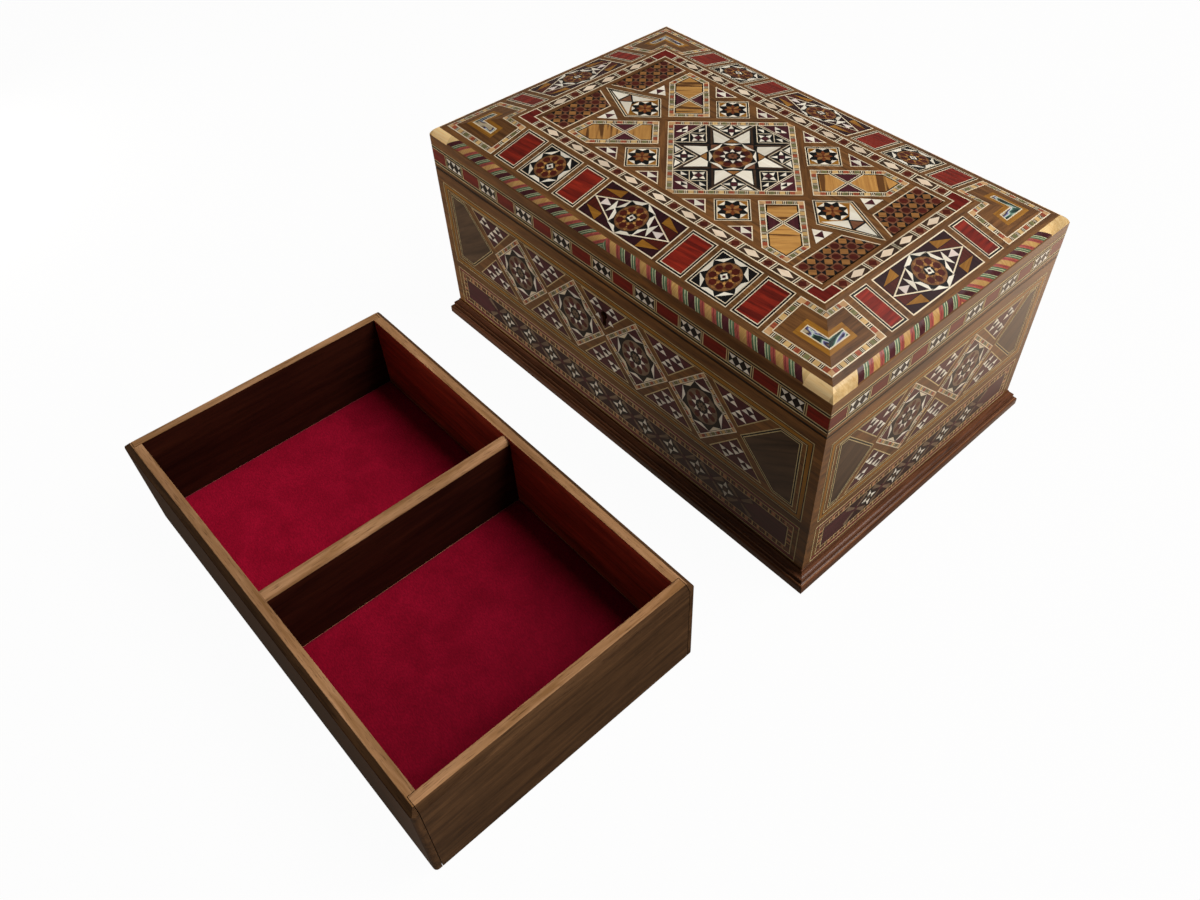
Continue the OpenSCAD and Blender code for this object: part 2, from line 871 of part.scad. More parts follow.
front_wall();
back_wall();
left_wall();
right_wall();
floor_board();
floor_lining();
left_tray_ledge();
right_tray_ledge();
front_plinth();
back_plinth();
left_plinth();
right_plinth();
front_marquetry();
back_marquetry();
left_marquetry();
right_marquetry();
left_hinge_body_leaf();
right_hinge_body_leaf();
hinge_pins();
hinge_body_screws();
lock_case();
lock_plate();
lock_screws();
lock_bolt();
lid_top_board();
lid_front_rail();
lid_back_rail();
lid_left_rail();
lid_right_rail();
lid_top_marquetry();
lid_front_slope();
lid_back_slope();
lid_left_slope();
lid_right_slope();
lid_front_marquetry();
lid_back_marquetry();
lid_left_marquetry();
lid_right_marquetry();
lid_front_edge();
lid_back_edge();
lid_left_edge();
lid_right_edge();
lid_corner_blocks();
lid_lining();
left_hinge_lid_leaf();
right_hinge_lid_leaf();
hinge_lid_screws();
lock_strike();
lock_strike_screws();
tray_front_wall();
tray_back_wall();
tray_left_wall();
tray_right_wall();
tray_bottom();
tray_divider();
tray_left_lining();
tray_right_lining();
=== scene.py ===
# %% [markdown]
# # A marquetry jewellery box with its lift-out tray
#
# The box is a walnut carcass covered in star marquetry: thousands of small tiles of dyed and natural
# wood and bone, glued into a veneer, ground flush and lacquered. The solids of the carcass, lid, lock,
# hinges and tray come packed, in metres, and stay where they are. This lesson lays the tiles on them,
# cuts the velvet, and gives every solid its wood or metal.

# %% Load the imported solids
import json

import bpy
import numpy as np
from mathutils import Matrix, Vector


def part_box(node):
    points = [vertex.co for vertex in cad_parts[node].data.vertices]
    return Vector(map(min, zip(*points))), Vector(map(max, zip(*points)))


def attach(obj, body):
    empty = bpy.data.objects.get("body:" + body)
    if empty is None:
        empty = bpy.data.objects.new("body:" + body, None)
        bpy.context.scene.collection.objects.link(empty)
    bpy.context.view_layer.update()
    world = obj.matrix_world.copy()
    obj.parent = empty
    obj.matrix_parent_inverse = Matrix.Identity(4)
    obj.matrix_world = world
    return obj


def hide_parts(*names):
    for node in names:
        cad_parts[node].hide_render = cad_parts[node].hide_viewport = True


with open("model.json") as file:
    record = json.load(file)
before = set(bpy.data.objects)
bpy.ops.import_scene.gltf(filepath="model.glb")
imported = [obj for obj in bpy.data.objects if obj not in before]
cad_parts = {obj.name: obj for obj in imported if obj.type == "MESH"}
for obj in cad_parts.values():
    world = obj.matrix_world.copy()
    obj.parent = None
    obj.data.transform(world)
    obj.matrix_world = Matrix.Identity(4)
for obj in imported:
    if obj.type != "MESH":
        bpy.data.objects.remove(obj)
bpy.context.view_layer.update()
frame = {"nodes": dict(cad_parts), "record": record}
MM = 0.001
rng = np.random.default_rng(12)

# %% [markdown]
# ## Camera, floor and light
#
# The box was photographed from above its right front corner, about 47 degrees round and 47 degrees up.
# The camera's place, focal length and small shift were worked out from the corners of box and tray in
# millimetres, so the picture overlays the photograph. The floor is a pale table. The camera sees it
# nearly white, and it keeps a soft part of the shadow. In reflections the floor glows as a painted
# reflection: dim near the box, as painted shadow, and brightest half a metre to a metre away.

# %% Camera
PHOTO_W, PHOTO_H, SENSOR_MM = 1200, 900, 36
FOCAL_PX, MIDDLE_PX = 984.284, (650.04, 425.28)
TURN = np.array([2.23302, 0.96305, -0.38307])
CAMERA_T = np.array([45.153, -44.866, 637.234])


def turn_matrix(vector):
    """Rotation about a vector by its length, by Rodrigues' formula: I + sin K + (1 - cos) K K."""
    angle = np.linalg.norm(vector)
    x, y, z = vector / angle
    k = np.array([[0, -z, y], [z, 0, -x], [-y, x, 0]])
    return np.eye(3) + np.sin(angle) * k + (1 - np.cos(angle)) * k @ k


right, down, ahead = turn_matrix(TURN)
eye = -(np.stack([right, down, ahead]).T @ CAMERA_T) * MM
camera = bpy.data.objects.new("camera", bpy.data.cameras.new("camera"))
camera.data.sensor_width = SENSOR_MM
camera.data.lens = FOCAL_PX / PHOTO_W * SENSOR_MM
camera.data.shift_x = (PHOTO_W / 2 - MIDDLE_PX[0]) / PHOTO_W
camera.data.shift_y = (MIDDLE_PX[1] - PHOTO_H / 2) / PHOTO_W
camera.data.clip_start = 0.01
placed = np.eye(4)
placed[:3] = np.stack([right, -down, -ahead, eye], 1)
camera.matrix_world = Matrix(placed.tolist())
bpy.context.scene.collection.objects.link(camera)
bpy.context.scene.camera = camera
bpy.context.scene.view_settings.view_transform = "Standard"
print("camera at", (eye / MM).round(1), "mm, lens", round(camera.data.lens, 2))


# %% Colours and nodes
def srgb(code):
    """Hex sRGB to linear light: below 0.04045 divide by 12.92, above it ((c + 0.055) / 1.055) to the 2.4."""
    c = np.array([int(code[i : i + 2], 16) for i in (1, 3, 5)]) / 255
    linear = np.where(c < 0.04045, c / 12.92, ((c + 0.055) / 1.055) ** 2.4)
    return (*linear.tolist(), 1.0)


def add(tree, kind, sockets=None, **settings):
    """Adds one node: settings are its own values, and sockets take a value or a link from another socket."""
    node = tree.nodes.new("ShaderNode" + kind)
    for key, value in settings.items():
        setattr(node, key, value)
    for key, value in (sockets or {}).items():
        if isinstance(value, bpy.types.NodeSocket):
            tree.links.new(value, node.inputs[key])
        else:
            node.inputs[key].default_value = value
    return node


def blank(name):
    """A new material with an empty node tree and its output node."""
    material = bpy.data.materials.new(name)
    material.use_nodes = True
    material.node_tree.nodes.clear()
    return material, material.node_tree, add(material.node_tree, "OutputMaterial")


def put_mesh(name, verts, faces, materials, body, smooth=False):
    """Puts vertex and face arrays, in metres, into one object at the origin that rides on a body."""
    mesh = bpy.data.meshes.new(name)
    mesh.from_pydata(verts, [], faces)
    for m in materials:
        mesh.materials.append(m)
    mesh.polygons.foreach_set("use_smooth", np.full(len(mesh.polygons), smooth))
    mesh.update()
    piece = bpy.data.objects.new(name, mesh)
    bpy.context.scene.collection.objects.link(piece)
    if body:
        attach(piece, body)
    return piece


# %% Floor
FLOOR_HALF, FLOOR_MIDDLE = 6.0, (-0.12, -0.12, 0)
WHITE_SHARE = 0.9
corner = np.array([[-1, -1, 0], [1, -1, 0], [1, 1, 0], [-1, 1, 0]]) * FLOOR_HALF
table_top, tree, out = blank("pale_table")
seen = add(tree, "LightPath").outputs
looks = add(tree, "Math", {0: seen["Is Camera Ray"], 1: seen["Is Transmission Ray"]}, operation="MAXIMUM")
share = add(tree, "Math", {0: looks.outputs[0], 1: WHITE_SHARE}, operation="MULTIPLY")
matt = add(tree, "BsdfDiffuse", {"Color": srgb("#7e7b79")})
spot = add(tree, "TexCoord").outputs["Object"]
away = add(tree, "VectorMath", {0: spot, 1: FLOOR_MIDDLE}, operation="DISTANCE").outputs["Value"]
# Painted reflection: for glossy rays the floor glows up to twice white, dim within 0.3 m of the box as
# painted shadow, brightest 0.52 m to 0.95 m away.
near = add(tree, "MapRange", {0: away, 1: 0.30, 2: 0.52, 3: 0.25, 4: 2.0}).outputs[0]
far = add(tree, "MapRange", {0: away, 1: 0.95, 2: 1.5, 3: 2.0, 4: 0.3}).outputs[0]
reflected_glow = add(tree, "Math", {0: near, 1: far}, operation="MINIMUM").outputs[0]
mirrored = add(tree, "Emission", {"Color": srgb("#ffe2c8"), "Strength": reflected_glow})
white = add(tree, "Emission", {"Color": (1, 1, 1, 1), "Strength": 1.075})
mixed = add(tree, "MixShader", {0: seen["Is Glossy Ray"], 1: matt.outputs[0], 2: mirrored.outputs[0]})
mixed = add(tree, "MixShader", {0: share.outputs[0], 1: mixed.outputs[0], 2: white.outputs[0]})
tree.links.new(mixed.outputs[0], out.inputs["Surface"])
floor = put_mesh("floor", corner, [(0, 1, 2, 3)], [table_top], None)
print("floor half", FLOOR_HALF, "m")

# %% Room and lamps
world = bpy.data.worlds.new("soft_room")
bpy.context.scene.world = world
world.use_nodes = True
room = world.node_tree.nodes["Background"]
room.inputs["Color"].default_value = (1.0, 0.985, 0.965, 1)
room.inputs["Strength"].default_value = 0.095
horizon = add(world.node_tree, "Background", {"Color": (1, 1, 1, 1), "Strength": 1.0})
seen = add(world.node_tree, "LightPath").outputs["Is Camera Ray"]
mixed = add(world.node_tree, "MixShader", {0: seen, 1: room.outputs[0], 2: horizon.outputs[0]})
world.node_tree.links.new(mixed.outputs[0], world.node_tree.nodes["World Output"].inputs["Surface"])


def lamp(name, place, aim, size, watts, tone, mirrored=True):
    """A square area lamp at place, turned so that its -Z looks at aim, mirrored in polish or not."""
    light = bpy.data.lights.new(name, "AREA")
    light.size, light.energy, light.color = size, watts, tone
    holder = bpy.data.objects.new(name, light)
    back = np.subtract(place, aim) / np.linalg.norm(np.subtract(place, aim))
    side = np.cross([0.0, 1.0, 0.001], back)
    side /= np.linalg.norm(side)
    at = np.eye(4)
    at[:3] = np.stack([side, np.cross(back, side), back, place], 1)
    holder.matrix_world = Matrix(at.tolist())
    holder.visible_glossy = mirrored
    bpy.context.scene.collection.objects.link(holder)


lamp("softbox_above", (0.60, 0.55, 1.45), (0, -0.1, 0.05), 0.9, 24.0, (1.0, 0.975, 0.94))
lamp("softbox_right", (1.5, 0.15, 0.17), (0.1, -0.05, 0.06), 0.5, 6.5, (1.0, 0.98, 0.95))
lamp("softbox_left", (-1.3, -0.8, 0.5), (-0.1, -0.1, 0.06), 0.5, 1.1, (1.0, 0.97, 0.92), False)
lamp("softbox_low", (-0.62, -0.37, 0.055), (-0.1, -0.1, 0.06), 0.1, 2.6, (1.0, 0.95, 0.9), False)
print("room and four softboxes set")

# %% [markdown]
# ## Woods
#
# Every tile is a slice of a wood stick, so its fibres have a direction and its shade differs a little
# from its neighbour's. The tiles carry a UV map called grain, in millimetres, with the fibres along U,
# and a number called tint. The solids have neither, so there the same wood reads Object coordinates.
# A wood is two noises stretched along the fibres, one for growth lines and one for pores, under a thin
# gloss lacquer. A finish is the specular level of the wood and the weight of its lacquer coat.

# %% The wood function
POLISHED, LACQUERED, WAXED = (0.26, 0.12), (0.3, 0.0), (0.14, 0.1)
SATIN, MATT = (0.06, 0.0), (0.03, 0.0)
PAINT_EDGE = 0.15 * MM


def within_box(tree, place, middle, half):
    """1 inside a box of Object coordinates and 0 more than PAINT_EDGE outside it: the largest of
    |p - middle| - half over the three axes."""
    off = add(tree, "VectorMath", {0: place, 1: [m * MM for m in middle]}, operation="SUBTRACT").outputs[0]
    off = add(tree, "VectorMath", {0: off}, operation="ABSOLUTE").outputs[0]
    off = add(tree, "VectorMath", {0: off, 1: [h * MM for h in half]}, operation="SUBTRACT").outputs[0]
    x, y, z = add(tree, "SeparateXYZ", {0: off}).outputs
    over = add(tree, "Math", {0: x, 1: y}, operation="MAXIMUM").outputs[0]
    over = add(tree, "Math", {0: over, 1: z}, operation="MAXIMUM").outputs[0]
    return add(tree, "MapRange", {0: over, 1: 0.0, 2: PAINT_EDGE, 3: 1.0, 4: 0.0}).outputs[0]


def wood(name, light, dark, growth_mm, pores, rough=0.34, axis=None, shine=POLISHED, streaks=None, painted_boxes=()):
    """Noise stretched along the fibres mixes light and dark; a finer one darkens pores and dents them.
    growth_mm is the width of a growth line. axis 0, 1 or 2 takes Object coordinates with the fibres along it.
    shine is the finish. streaks are the strength and colour of dark heartwood lines some 3 mm apart. The last
    argument is boxes in millimetres where light or shade is painted into the wood, each with colours of its
    own: (middle, half size, light, dark)."""
    material, tree, out = blank(name)
    tiles = axis is None
    if tiles:
        place, unit, axis = add(tree, "UVMap", uv_map="grain").outputs["UV"], 1.0, 0
    else:
        place, unit = add(tree, "TexCoord").outputs["Object"], 1 / MM

    def stretched(along_mm, across_mm):
        """The place in units of along_mm down the fibres and across_mm over them."""
        scale = np.full(3, unit / across_mm)
        scale[axis] = unit / along_mm
        return add(tree, "Mapping", {"Vector": place, "Scale": scale.tolist()}).outputs[0]

    growth = add(tree, "TexNoise", {"Vector": stretched(growth_mm * 14, growth_mm), "Scale": 1.0,
                                    "Detail": 4.0, "Roughness": 0.6, "Distortion": 0.5}).outputs[0]
    band = add(tree, "MapRange", {0: growth, 1: 0.33, 2: 0.67}).outputs[0]
    shade = add(tree, "Mix", {0: band, 6: srgb(dark), 7: srgb(light)}, data_type="RGBA").outputs[2]
    # Each box paints light or shade into the wood, with colours of its own.
    for middle, half, box_light, box_dark in painted_boxes:
        inside = within_box(tree, place, middle, half)
        box_paint = add(tree, "Mix", {0: band, 6: srgb(box_dark), 7: srgb(box_light)}, data_type="RGBA")
        shade = add(tree, "Mix", {0: inside, 6: shade, 7: box_paint.outputs[2]}, data_type="RGBA").outputs[2]
    if streaks:
        wide = add(tree, "TexNoise", {"Vector": stretched(60.0, 3.2), "Scale": 1.0, "Detail": 1.0})
        line = add(tree, "MapRange", {0: wide.outputs[0], 1: 0.56, 2: 0.62, 4: streaks[0]}).outputs[0]
        shade = add(tree, "Mix", {0: line, 6: shade, 7: srgb(streaks[1])}, data_type="RGBA").outputs[2]
    fine = add(tree, "TexNoise", {"Vector": stretched(6.0, 0.34), "Scale": 1.0, "Detail": 2.0})
    pore = add(tree, "MapRange", {0: fine.outputs[0], 1: 0.56, 2: 0.70, 4: pores}).outputs[0]
    shade = add(tree, "Mix", {0: pore, 6: shade, 7: srgb("#1c0f08")}, data_type="RGBA").outputs[2]
    if tiles:
        tint = add(tree, "Attribute", attribute_name="tint").outputs["Fac"]
    else:
        slow = add(tree, "TexNoise", {"Vector": stretched(90.0, 11.0), "Scale": 1.0, "Detail": 2.0})
        tint = add(tree, "MapRange", {0: slow.outputs[0], 1: 0.3, 2: 0.7, 3: 0.78, 4: 1.14}).outputs[0]
    shade = add(tree, "HueSaturation", {"Color": shade, "Value": tint}).outputs[0]
    gloss = add(tree, "MapRange", {0: growth, 3: rough - 0.05, 4: rough + 0.06}).outputs[0]
    dent = add(tree, "Bump", {"Strength": 0.12, "Distance": 0.00008, "Height": pore}, invert=True).outputs[0]
    skin = add(tree, "BsdfPrincipled", {
        "Base Color": shade, "Roughness": gloss, "IOR": 1.5, "Specular IOR Level": shine[0],
        "Coat Weight": shine[1], "Coat Roughness": 0.12, "Normal": dent})
    tree.links.new(skin.outputs[0], out.inputs["Surface"])
    return material


# %% [markdown]
# The sticks are walnut for the ground, rose-red padauk, nearly black ebony, purple heartwood, yellow
# mulberry, brown apricot, streaked olive, pale lemon wood and maple, dyed strips, and camel bone for the
# whites. Each row gives the light and dark colour, the growth width in millimetres and the pores. The
# shell in the corners is abalone, ground flat and polished: it shows green, white and violet waves.

# %% Stock of tile woods
STOCK = {
    "walnut": ("#80552d", "#52341b", 2.2, 0.45),
    "dark_walnut": ("#4a3524", "#33241a", 3.0, 0.40),
    "smoky_walnut": ("#5e4834", "#33251a", 6.0, 0.35),
    "drab_wood": ("#86705a", "#64503e", 1.6, 0.25),
    "padauk": ("#9c2a18", "#64160e", 2.2, 0.45),
    "red_padauk": ("#7c2016", "#551009", 2.0, 0.35),
    "rosewood": ("#5c2012", "#3e120a", 1.2, 0.25),
    "rust_wood": ("#80421f", "#5f2e13", 1.2, 0.25),
    "plum_wood": ("#86583f", "#684029", 1.2, 0.25),
    "ebony": ("#141211", "#0b0a0a", 1.5, 0.10),
    "purple_heart": ("#54242b", "#38151b", 1.8, 0.20),
    "aubergine": ("#34141a", "#220c10", 1.8, 0.20),
    "mulberry": ("#a87428", "#86571a", 1.6, 0.25),
    "brown_wood": ("#845a38", "#644226", 1.2, 0.25),
    "apricot": ("#a37340", "#7f5229", 1.2, 0.25),
    "olive_wood": ("#c89550", "#a6733a", 2.4, 0.20),
    "lemon_wood": ("#cfa678", "#b98c5c", 1.4, 0.15),
    "moss_strip": ("#7c7a50", "#5e5c3a", 1.2, 0.15),
    "straw_strip": ("#d8b87e", "#c49c60", 1.2, 0.10),
    "pale_strip": ("#cfcfa8", "#b2b48c", 1.0, 0.10),
    "ivory_line": ("#d8c494", "#c0a872", 1.2, 0.05),
    "maple": ("#f1e4ca", "#e2cfac", 1.2, 0.05),
    "bone": ("#f4eede", "#e6dcc8", 3.0, 0.02),
    "camel_bone": ("#ecdac2", "#dec6aa", 3.0, 0.02),
    "pink_bone": ("#ecdfd8", "#dccac0", 3.0, 0.02),
    "dyed_green": ("#5e7658", "#42583c", 1.0, 0.20),
    "salmon_strip": ("#c48a64", "#a86c4c", 1.0, 0.20),
    "dyed_pink": ("#ae594d", "#904339", 1.0, 0.20),
    "rust_strip": ("#a8563a", "#883f28", 1.0, 0.25),
    "wine_strip": ("#7e3038", "#632229", 1.0, 0.20),
    "tan_strip": ("#cba062", "#ae844a", 1.2, 0.25),
    "maroon_strip": ("#56262b", "#3c171b", 1.2, 0.20),
    "boxwood": ("#f0d298", "#dcb678", 1.6, 0.15),
}
STREAKS = {"olive_wood": (0.9, "#4f2c12"), "padauk": (0.55, "#480e09")}
POLISHED_WOOD, LACQUERED_WOOD = (
    {name: wood(f"{finish}_{name}", *looks, shine=shine, streaks=STREAKS.get(name))
     for name, looks in STOCK.items()}
    for finish, shine in (("polished", POLISHED), ("lacquered", LACQUERED)))
print("woods:", len(STOCK), "in two finishes")

# %% Abalone shell
SHELL_HUES = ((0.34, "#22302c"), (0.40, "#3c5a50"), (0.44, "#8fae9c"), (0.47, "#dfe2d4"), (0.50, "#9b9fb8"),
              (0.54, "#524a78"), (0.58, "#2a2430"), (0.63, "#7c6a58"), (0.68, "#b9a98c"))
# Waves are some 14 mm long and 4 mm apart.
abalone, tree, out = blank("abalone_shell")
place = add(tree, "UVMap", uv_map="grain").outputs["UV"]
place = add(tree, "Mapping", {"Vector": place, "Scale": (0.07, 0.24, 1)}).outputs[0]
wave = add(tree, "TexNoise", {"Vector": place, "Scale": 1.0, "Detail": 1.0, "Distortion": 0.7})
hues = add(tree, "ValToRGB", {0: wave.outputs[0]})
ramp = hues.color_ramp.elements
ramp[0].color, ramp[1].color = srgb("#17201f"), srgb("#4a3c34")
for stop, code in SHELL_HUES:
    ramp.new(stop).color = srgb(code)
shell = add(tree, "BsdfPrincipled", {"Base Color": hues.outputs[0], "Roughness": 0.18, "IOR": 1.6,
                                     "Coat Weight": 0.3, "Coat Roughness": 0.08})
tree.links.new(shell.outputs[0], out.inputs["Surface"])
POLISHED_WOOD["abalone"] = LACQUERED_WOOD["abalone"] = abalone
KINDS = list(POLISHED_WOOD)
print("tile materials:", len(KINDS))

# %% [markdown]
# ## How a sheet of tiles is drawn and laid
#
# The marquetry maker draws on a flat board, so each face gets a flat sheet in millimetres. A tile is a
# polygon, and alike tiles are one array (how many, corners, 2). A sheet is a list of such arrays, each
# with its wood, its level and its fibre angle. Level says what lies over what: every level stands 0.03 mm
# higher, which the eye can't see, so lines can be laid over grounds without cutting them. A plain texture
# would blur, and one mesh per tile would be thousands of objects, so each face becomes one mesh.

# %% Shapes
QUARTERS = ((1, 1), (-1, 1), (-1, -1), (1, -1))
LEFT_RIGHT = ((1, 1), (-1, 1))
UP_DOWN = ((1, 1), (1, -1))


def pts(*values):
    """A polygon from numbers x, y, x, y, ... as an array (corners, 2)."""
    return np.array(values, float).reshape(-1, 2)


def tris(*values):
    """Triangles from numbers, six to each, as an array (how many, 3, 2)."""
    return np.array(values, float).reshape(-1, 3, 2)


def many(shapes):
    """One polygon or several, as an array (how many, corners, 2)."""
    shapes = np.asarray(shapes, float)
    return shapes if shapes.ndim == 3 else shapes[None]


def rect(x0, y0, x1, y1):
    """Rectangles from their edges, which may be arrays: the corners go round from the lower left."""
    x0, y0, x1, y1 = np.broadcast_arrays(*(np.atleast_1d(np.asarray(v, float)) for v in (x0, y0, x1, y1)))
    return np.stack([np.stack(c, 1) for c in ((x0, y0), (x1, y0), (x1, y1), (x0, y1))], 1)


def ngon(n, radius, first=0.0):
    """A regular polygon: n corners on a circle, the first at that angle in degrees."""
    angle = np.radians(first) + np.arange(n) * 2 * np.pi / n
    return radius * np.stack([np.cos(angle), np.sin(angle)], 1)


def bars(p, q, width):
    """Thin strips from p to q: each end is moved half a width to either side, square to the run."""
    p, q = np.broadcast_arrays(np.atleast_2d(np.asarray(p, float)), np.atleast_2d(np.asarray(q, float)))
    side = np.stack([p[:, 1] - q[:, 1], q[:, 0] - p[:, 0]], 1)
    side *= width / 2 / np.linalg.norm(side, axis=1, keepdims=True)
    return np.stack([p - side, q - side, q + side, p + side], 1)


def wound(shapes):
    """Turns clockwise tiles round, by the sign of the area sum x1 y2 - x2 y1."""
    after = np.roll(shapes, -1, 1)
    area = (shapes[..., 0] * after[..., 1] - after[..., 0] * shapes[..., 1]).sum(1)
    return np.where((area < 0)[:, None, None], shapes[:, ::-1], shapes)


def inset(outline, gap):
    """A convex outline moved inwards: each corner goes by gap (n1 + n2) / (1 + n1.n2), with n the inward
    normals."""
    outline = wound(many(outline))[0]
    edge = np.roll(outline, -1, 0) - outline
    normal = np.stack([-edge[:, 1], edge[:, 0]], 1) / np.linalg.norm(edge, axis=1, keepdims=True)
    before = np.roll(normal, 1, 0)
    return outline + gap * (normal + before) / (1 + (normal * before).sum(1, keepdims=True))


def ring(outline, near, far):
    """The mitred strips between two insets of an outline, one four-sided tile to a side."""
    a, b = inset(outline, near), inset(outline, far)
    return np.stack([a, np.roll(a, -1, 0), np.roll(b, -1, 0), b], 1)


def turn_2d(degrees):
    """The matrix that turns row points by an angle."""
    c, s = np.cos(np.radians(degrees)), np.sin(np.radians(degrees))
    return np.array([[c, s], [-s, c]])


def spun(shapes, n):
    """Copies turned n times round the origin."""
    shapes = many(shapes)
    angle = np.arange(n) * 2 * np.pi / n
    c, s = np.cos(angle), np.sin(angle)
    turn = np.stack([np.stack([c, -s], 1), np.stack([s, c], 1)], 1)
    return np.einsum("mij,knj->mkni", turn, shapes).reshape(-1, shapes.shape[1], 2)


def sides_of(shapes, signs=QUARTERS):
    """Copies mirrored by signs of x and y."""
    shapes = many(shapes)
    return (np.array(signs)[:, None, None, :] * shapes).reshape(-1, shapes.shape[1], 2)


# %% Laying tiles
def lay(sheet, *rows):
    """Adds rows of tiles to a sheet and returns it. A row is a wood, a level, the shapes and, where it
    isn't 0, their fibre angle in degrees."""
    for kind, level, shapes, *grain in rows:
        shapes = wound(many(shapes))
        angle = np.asarray(grain[0] if grain else 0.0, float)
        sheet.append((kind, level, shapes, np.broadcast_to(angle, len(shapes))))
    return sheet


def place_at(sheet, motif, spots, lift=0):
    """Repeats a motif, itself a sheet, by broadcasting, at spots (x, y) or (x, y, turn in degrees, mirror 1
    or -1), and lifts it by some levels."""
    spots = np.atleast_2d(np.asarray(spots, float))
    if spots.shape[1] == 2:
        spots = np.hstack([spots, np.tile([0.0, 1.0], (len(spots), 1))])
    angle = np.radians(spots[:, 2])
    c, s, m = np.cos(angle), np.sin(angle), spots[:, 3]
    turn = np.stack([np.stack([c * m, -s], 1), np.stack([s * m, c], 1)], 1)
    for kind, level, shapes, grain in motif:
        put = np.einsum("mij,knj->mkni", turn, shapes) + spots[:, None, None, :2]
        fibre = grain[None] * m[:, None] + spots[:, 2:3]
        lay(sheet, (kind, level + lift, put.reshape(-1, shapes.shape[1], 2), fibre.ravel()))


# %% Stringing and striped sticks
STRINGING, STRING_WOODS = (0, 0.47, 1.48, 1.95), ("maple", "ebony", "maple")
TICK_EDGES = (0, 0.55, 0.92, 1.47, 1.84, 2.39)
TICKS = list(zip(TICK_EDGES, TICK_EDGES[1:], ("ebony", "maple", "ebony", "maple", "ebony")))
DASH = [(0.3, 3.1, "rust_strip"), (5.9, 8.7, "straw_strip"), (11.6, 14.3, "moss_strip")]
DASH += [(at + a, at + b, kind) for at in (3.3, 9.0, 14.5) for a, b, kind in TICKS]
DASH_MM = 17.0
FINE_DASH = (
    (0.4, 0.9, "ebony"), (1.5, 2.0, "rosewood"), (2.7, 3.2, "ebony"), (3.9, 4.6, "straw_strip"),
    (5.2, 5.7, "ebony"), (6.3, 8.6, "salmon_strip"), (9.2, 9.7, "ebony"), (10.3, 10.8, "rosewood"),
    (11.4, 12.0, "straw_strip"), (12.6, 13.1, "ebony"), (13.8, 14.3, "rosewood"),
    (15.0, 16.4, "salmon_strip"))


def outline_lines(sheet, outline, gaps=STRINGING):
    """Stringing round a panel: thin strips one inside the other, pale, black and pale."""
    for near, far, kind in zip(gaps[:-1], gaps[1:], STRING_WOODS):
        lay(sheet, (kind, 1, ring(outline, near, far)))


def dashes(sheet, start, end, width, stripes=DASH):
    """The striped stick: blocks across a strip from start to end, repeated a whole number of times."""
    start, end = np.asarray(start, float), np.asarray(end, float)
    length = np.linalg.norm(end - start)
    along = (end - start) / length
    across = np.array([-along[1], along[0]]) * width / 2
    count = max(1, round(length / DASH_MM))
    unit = length / count / DASH_MM
    first = np.arange(count)[:, None] * DASH_MM
    grain = np.degrees(np.arctan2(across[1], across[0]))
    for a, b, kind in stripes:
        p, q = start + (first + a) * unit * along, start + (first + b) * unit * along
        lay(sheet, (kind, 2, np.stack([p - across, q - across, q + across, p + across], 1), grain))


def dashed_ring(sheet, outline, width, line=0.5):
    """A striped stick frame: a mitred lemon wood ring with a pale line along both edges and dashes
    between."""
    lay(sheet, ("lemon_wood", 1, ring(outline, 0, width)), ("maple", 2, ring(outline, 0, line)),
        ("maple", 2, ring(outline, width - line, width)))
    middle, inner = inset(outline, width / 2), inset(outline, width)
    run = np.roll(inner, -1, 0) - inner
    unit = run / np.linalg.norm(run, axis=1, keepdims=True)
    reach = ((inner - middle) * unit).sum(1, keepdims=True)
    starts = middle + reach * unit
    for start, end in zip(starts, starts + run):
        dashes(sheet, start, end, width - 2 * line)


# %% From a flat sheet to a mesh
DEEP, PROUD, STEP = 0.25, 0.04, 0.03
GRAIN_JUMP, BAKE_MARGIN, BAKE_SHRINK = 400, 0.003, 0.92


def veneer(name, body, woods, verts, faces, wood_of, grain_at, plan_at, tint):
    """One mesh of tiles in millimetres, with the wood of each face, the maps grain and OFBake, and tint."""
    piece = put_mesh(name, verts * MM, faces, list(woods.values()), body)
    mesh = piece.data
    mesh.polygons.foreach_set("material_index", wood_of.astype(np.int32))
    corner = np.empty(len(mesh.loops), np.int32)
    mesh.loops.foreach_get("vertex_index", corner)
    for layer, at in (("grain", grain_at), ("OFBake", plan_at)):
        mesh.uv_layers.new(name=layer).data.foreach_set("uv", at[corner].astype(np.float32).ravel())
    mesh.uv_layers.active = mesh.uv_layers["grain"]
    mesh.uv_layers["grain"].active_render = True
    mesh.attributes.new("tint", "FLOAT", "POINT").data.foreach_set("value", tint.astype(np.float32))
    mesh.update()
    return piece


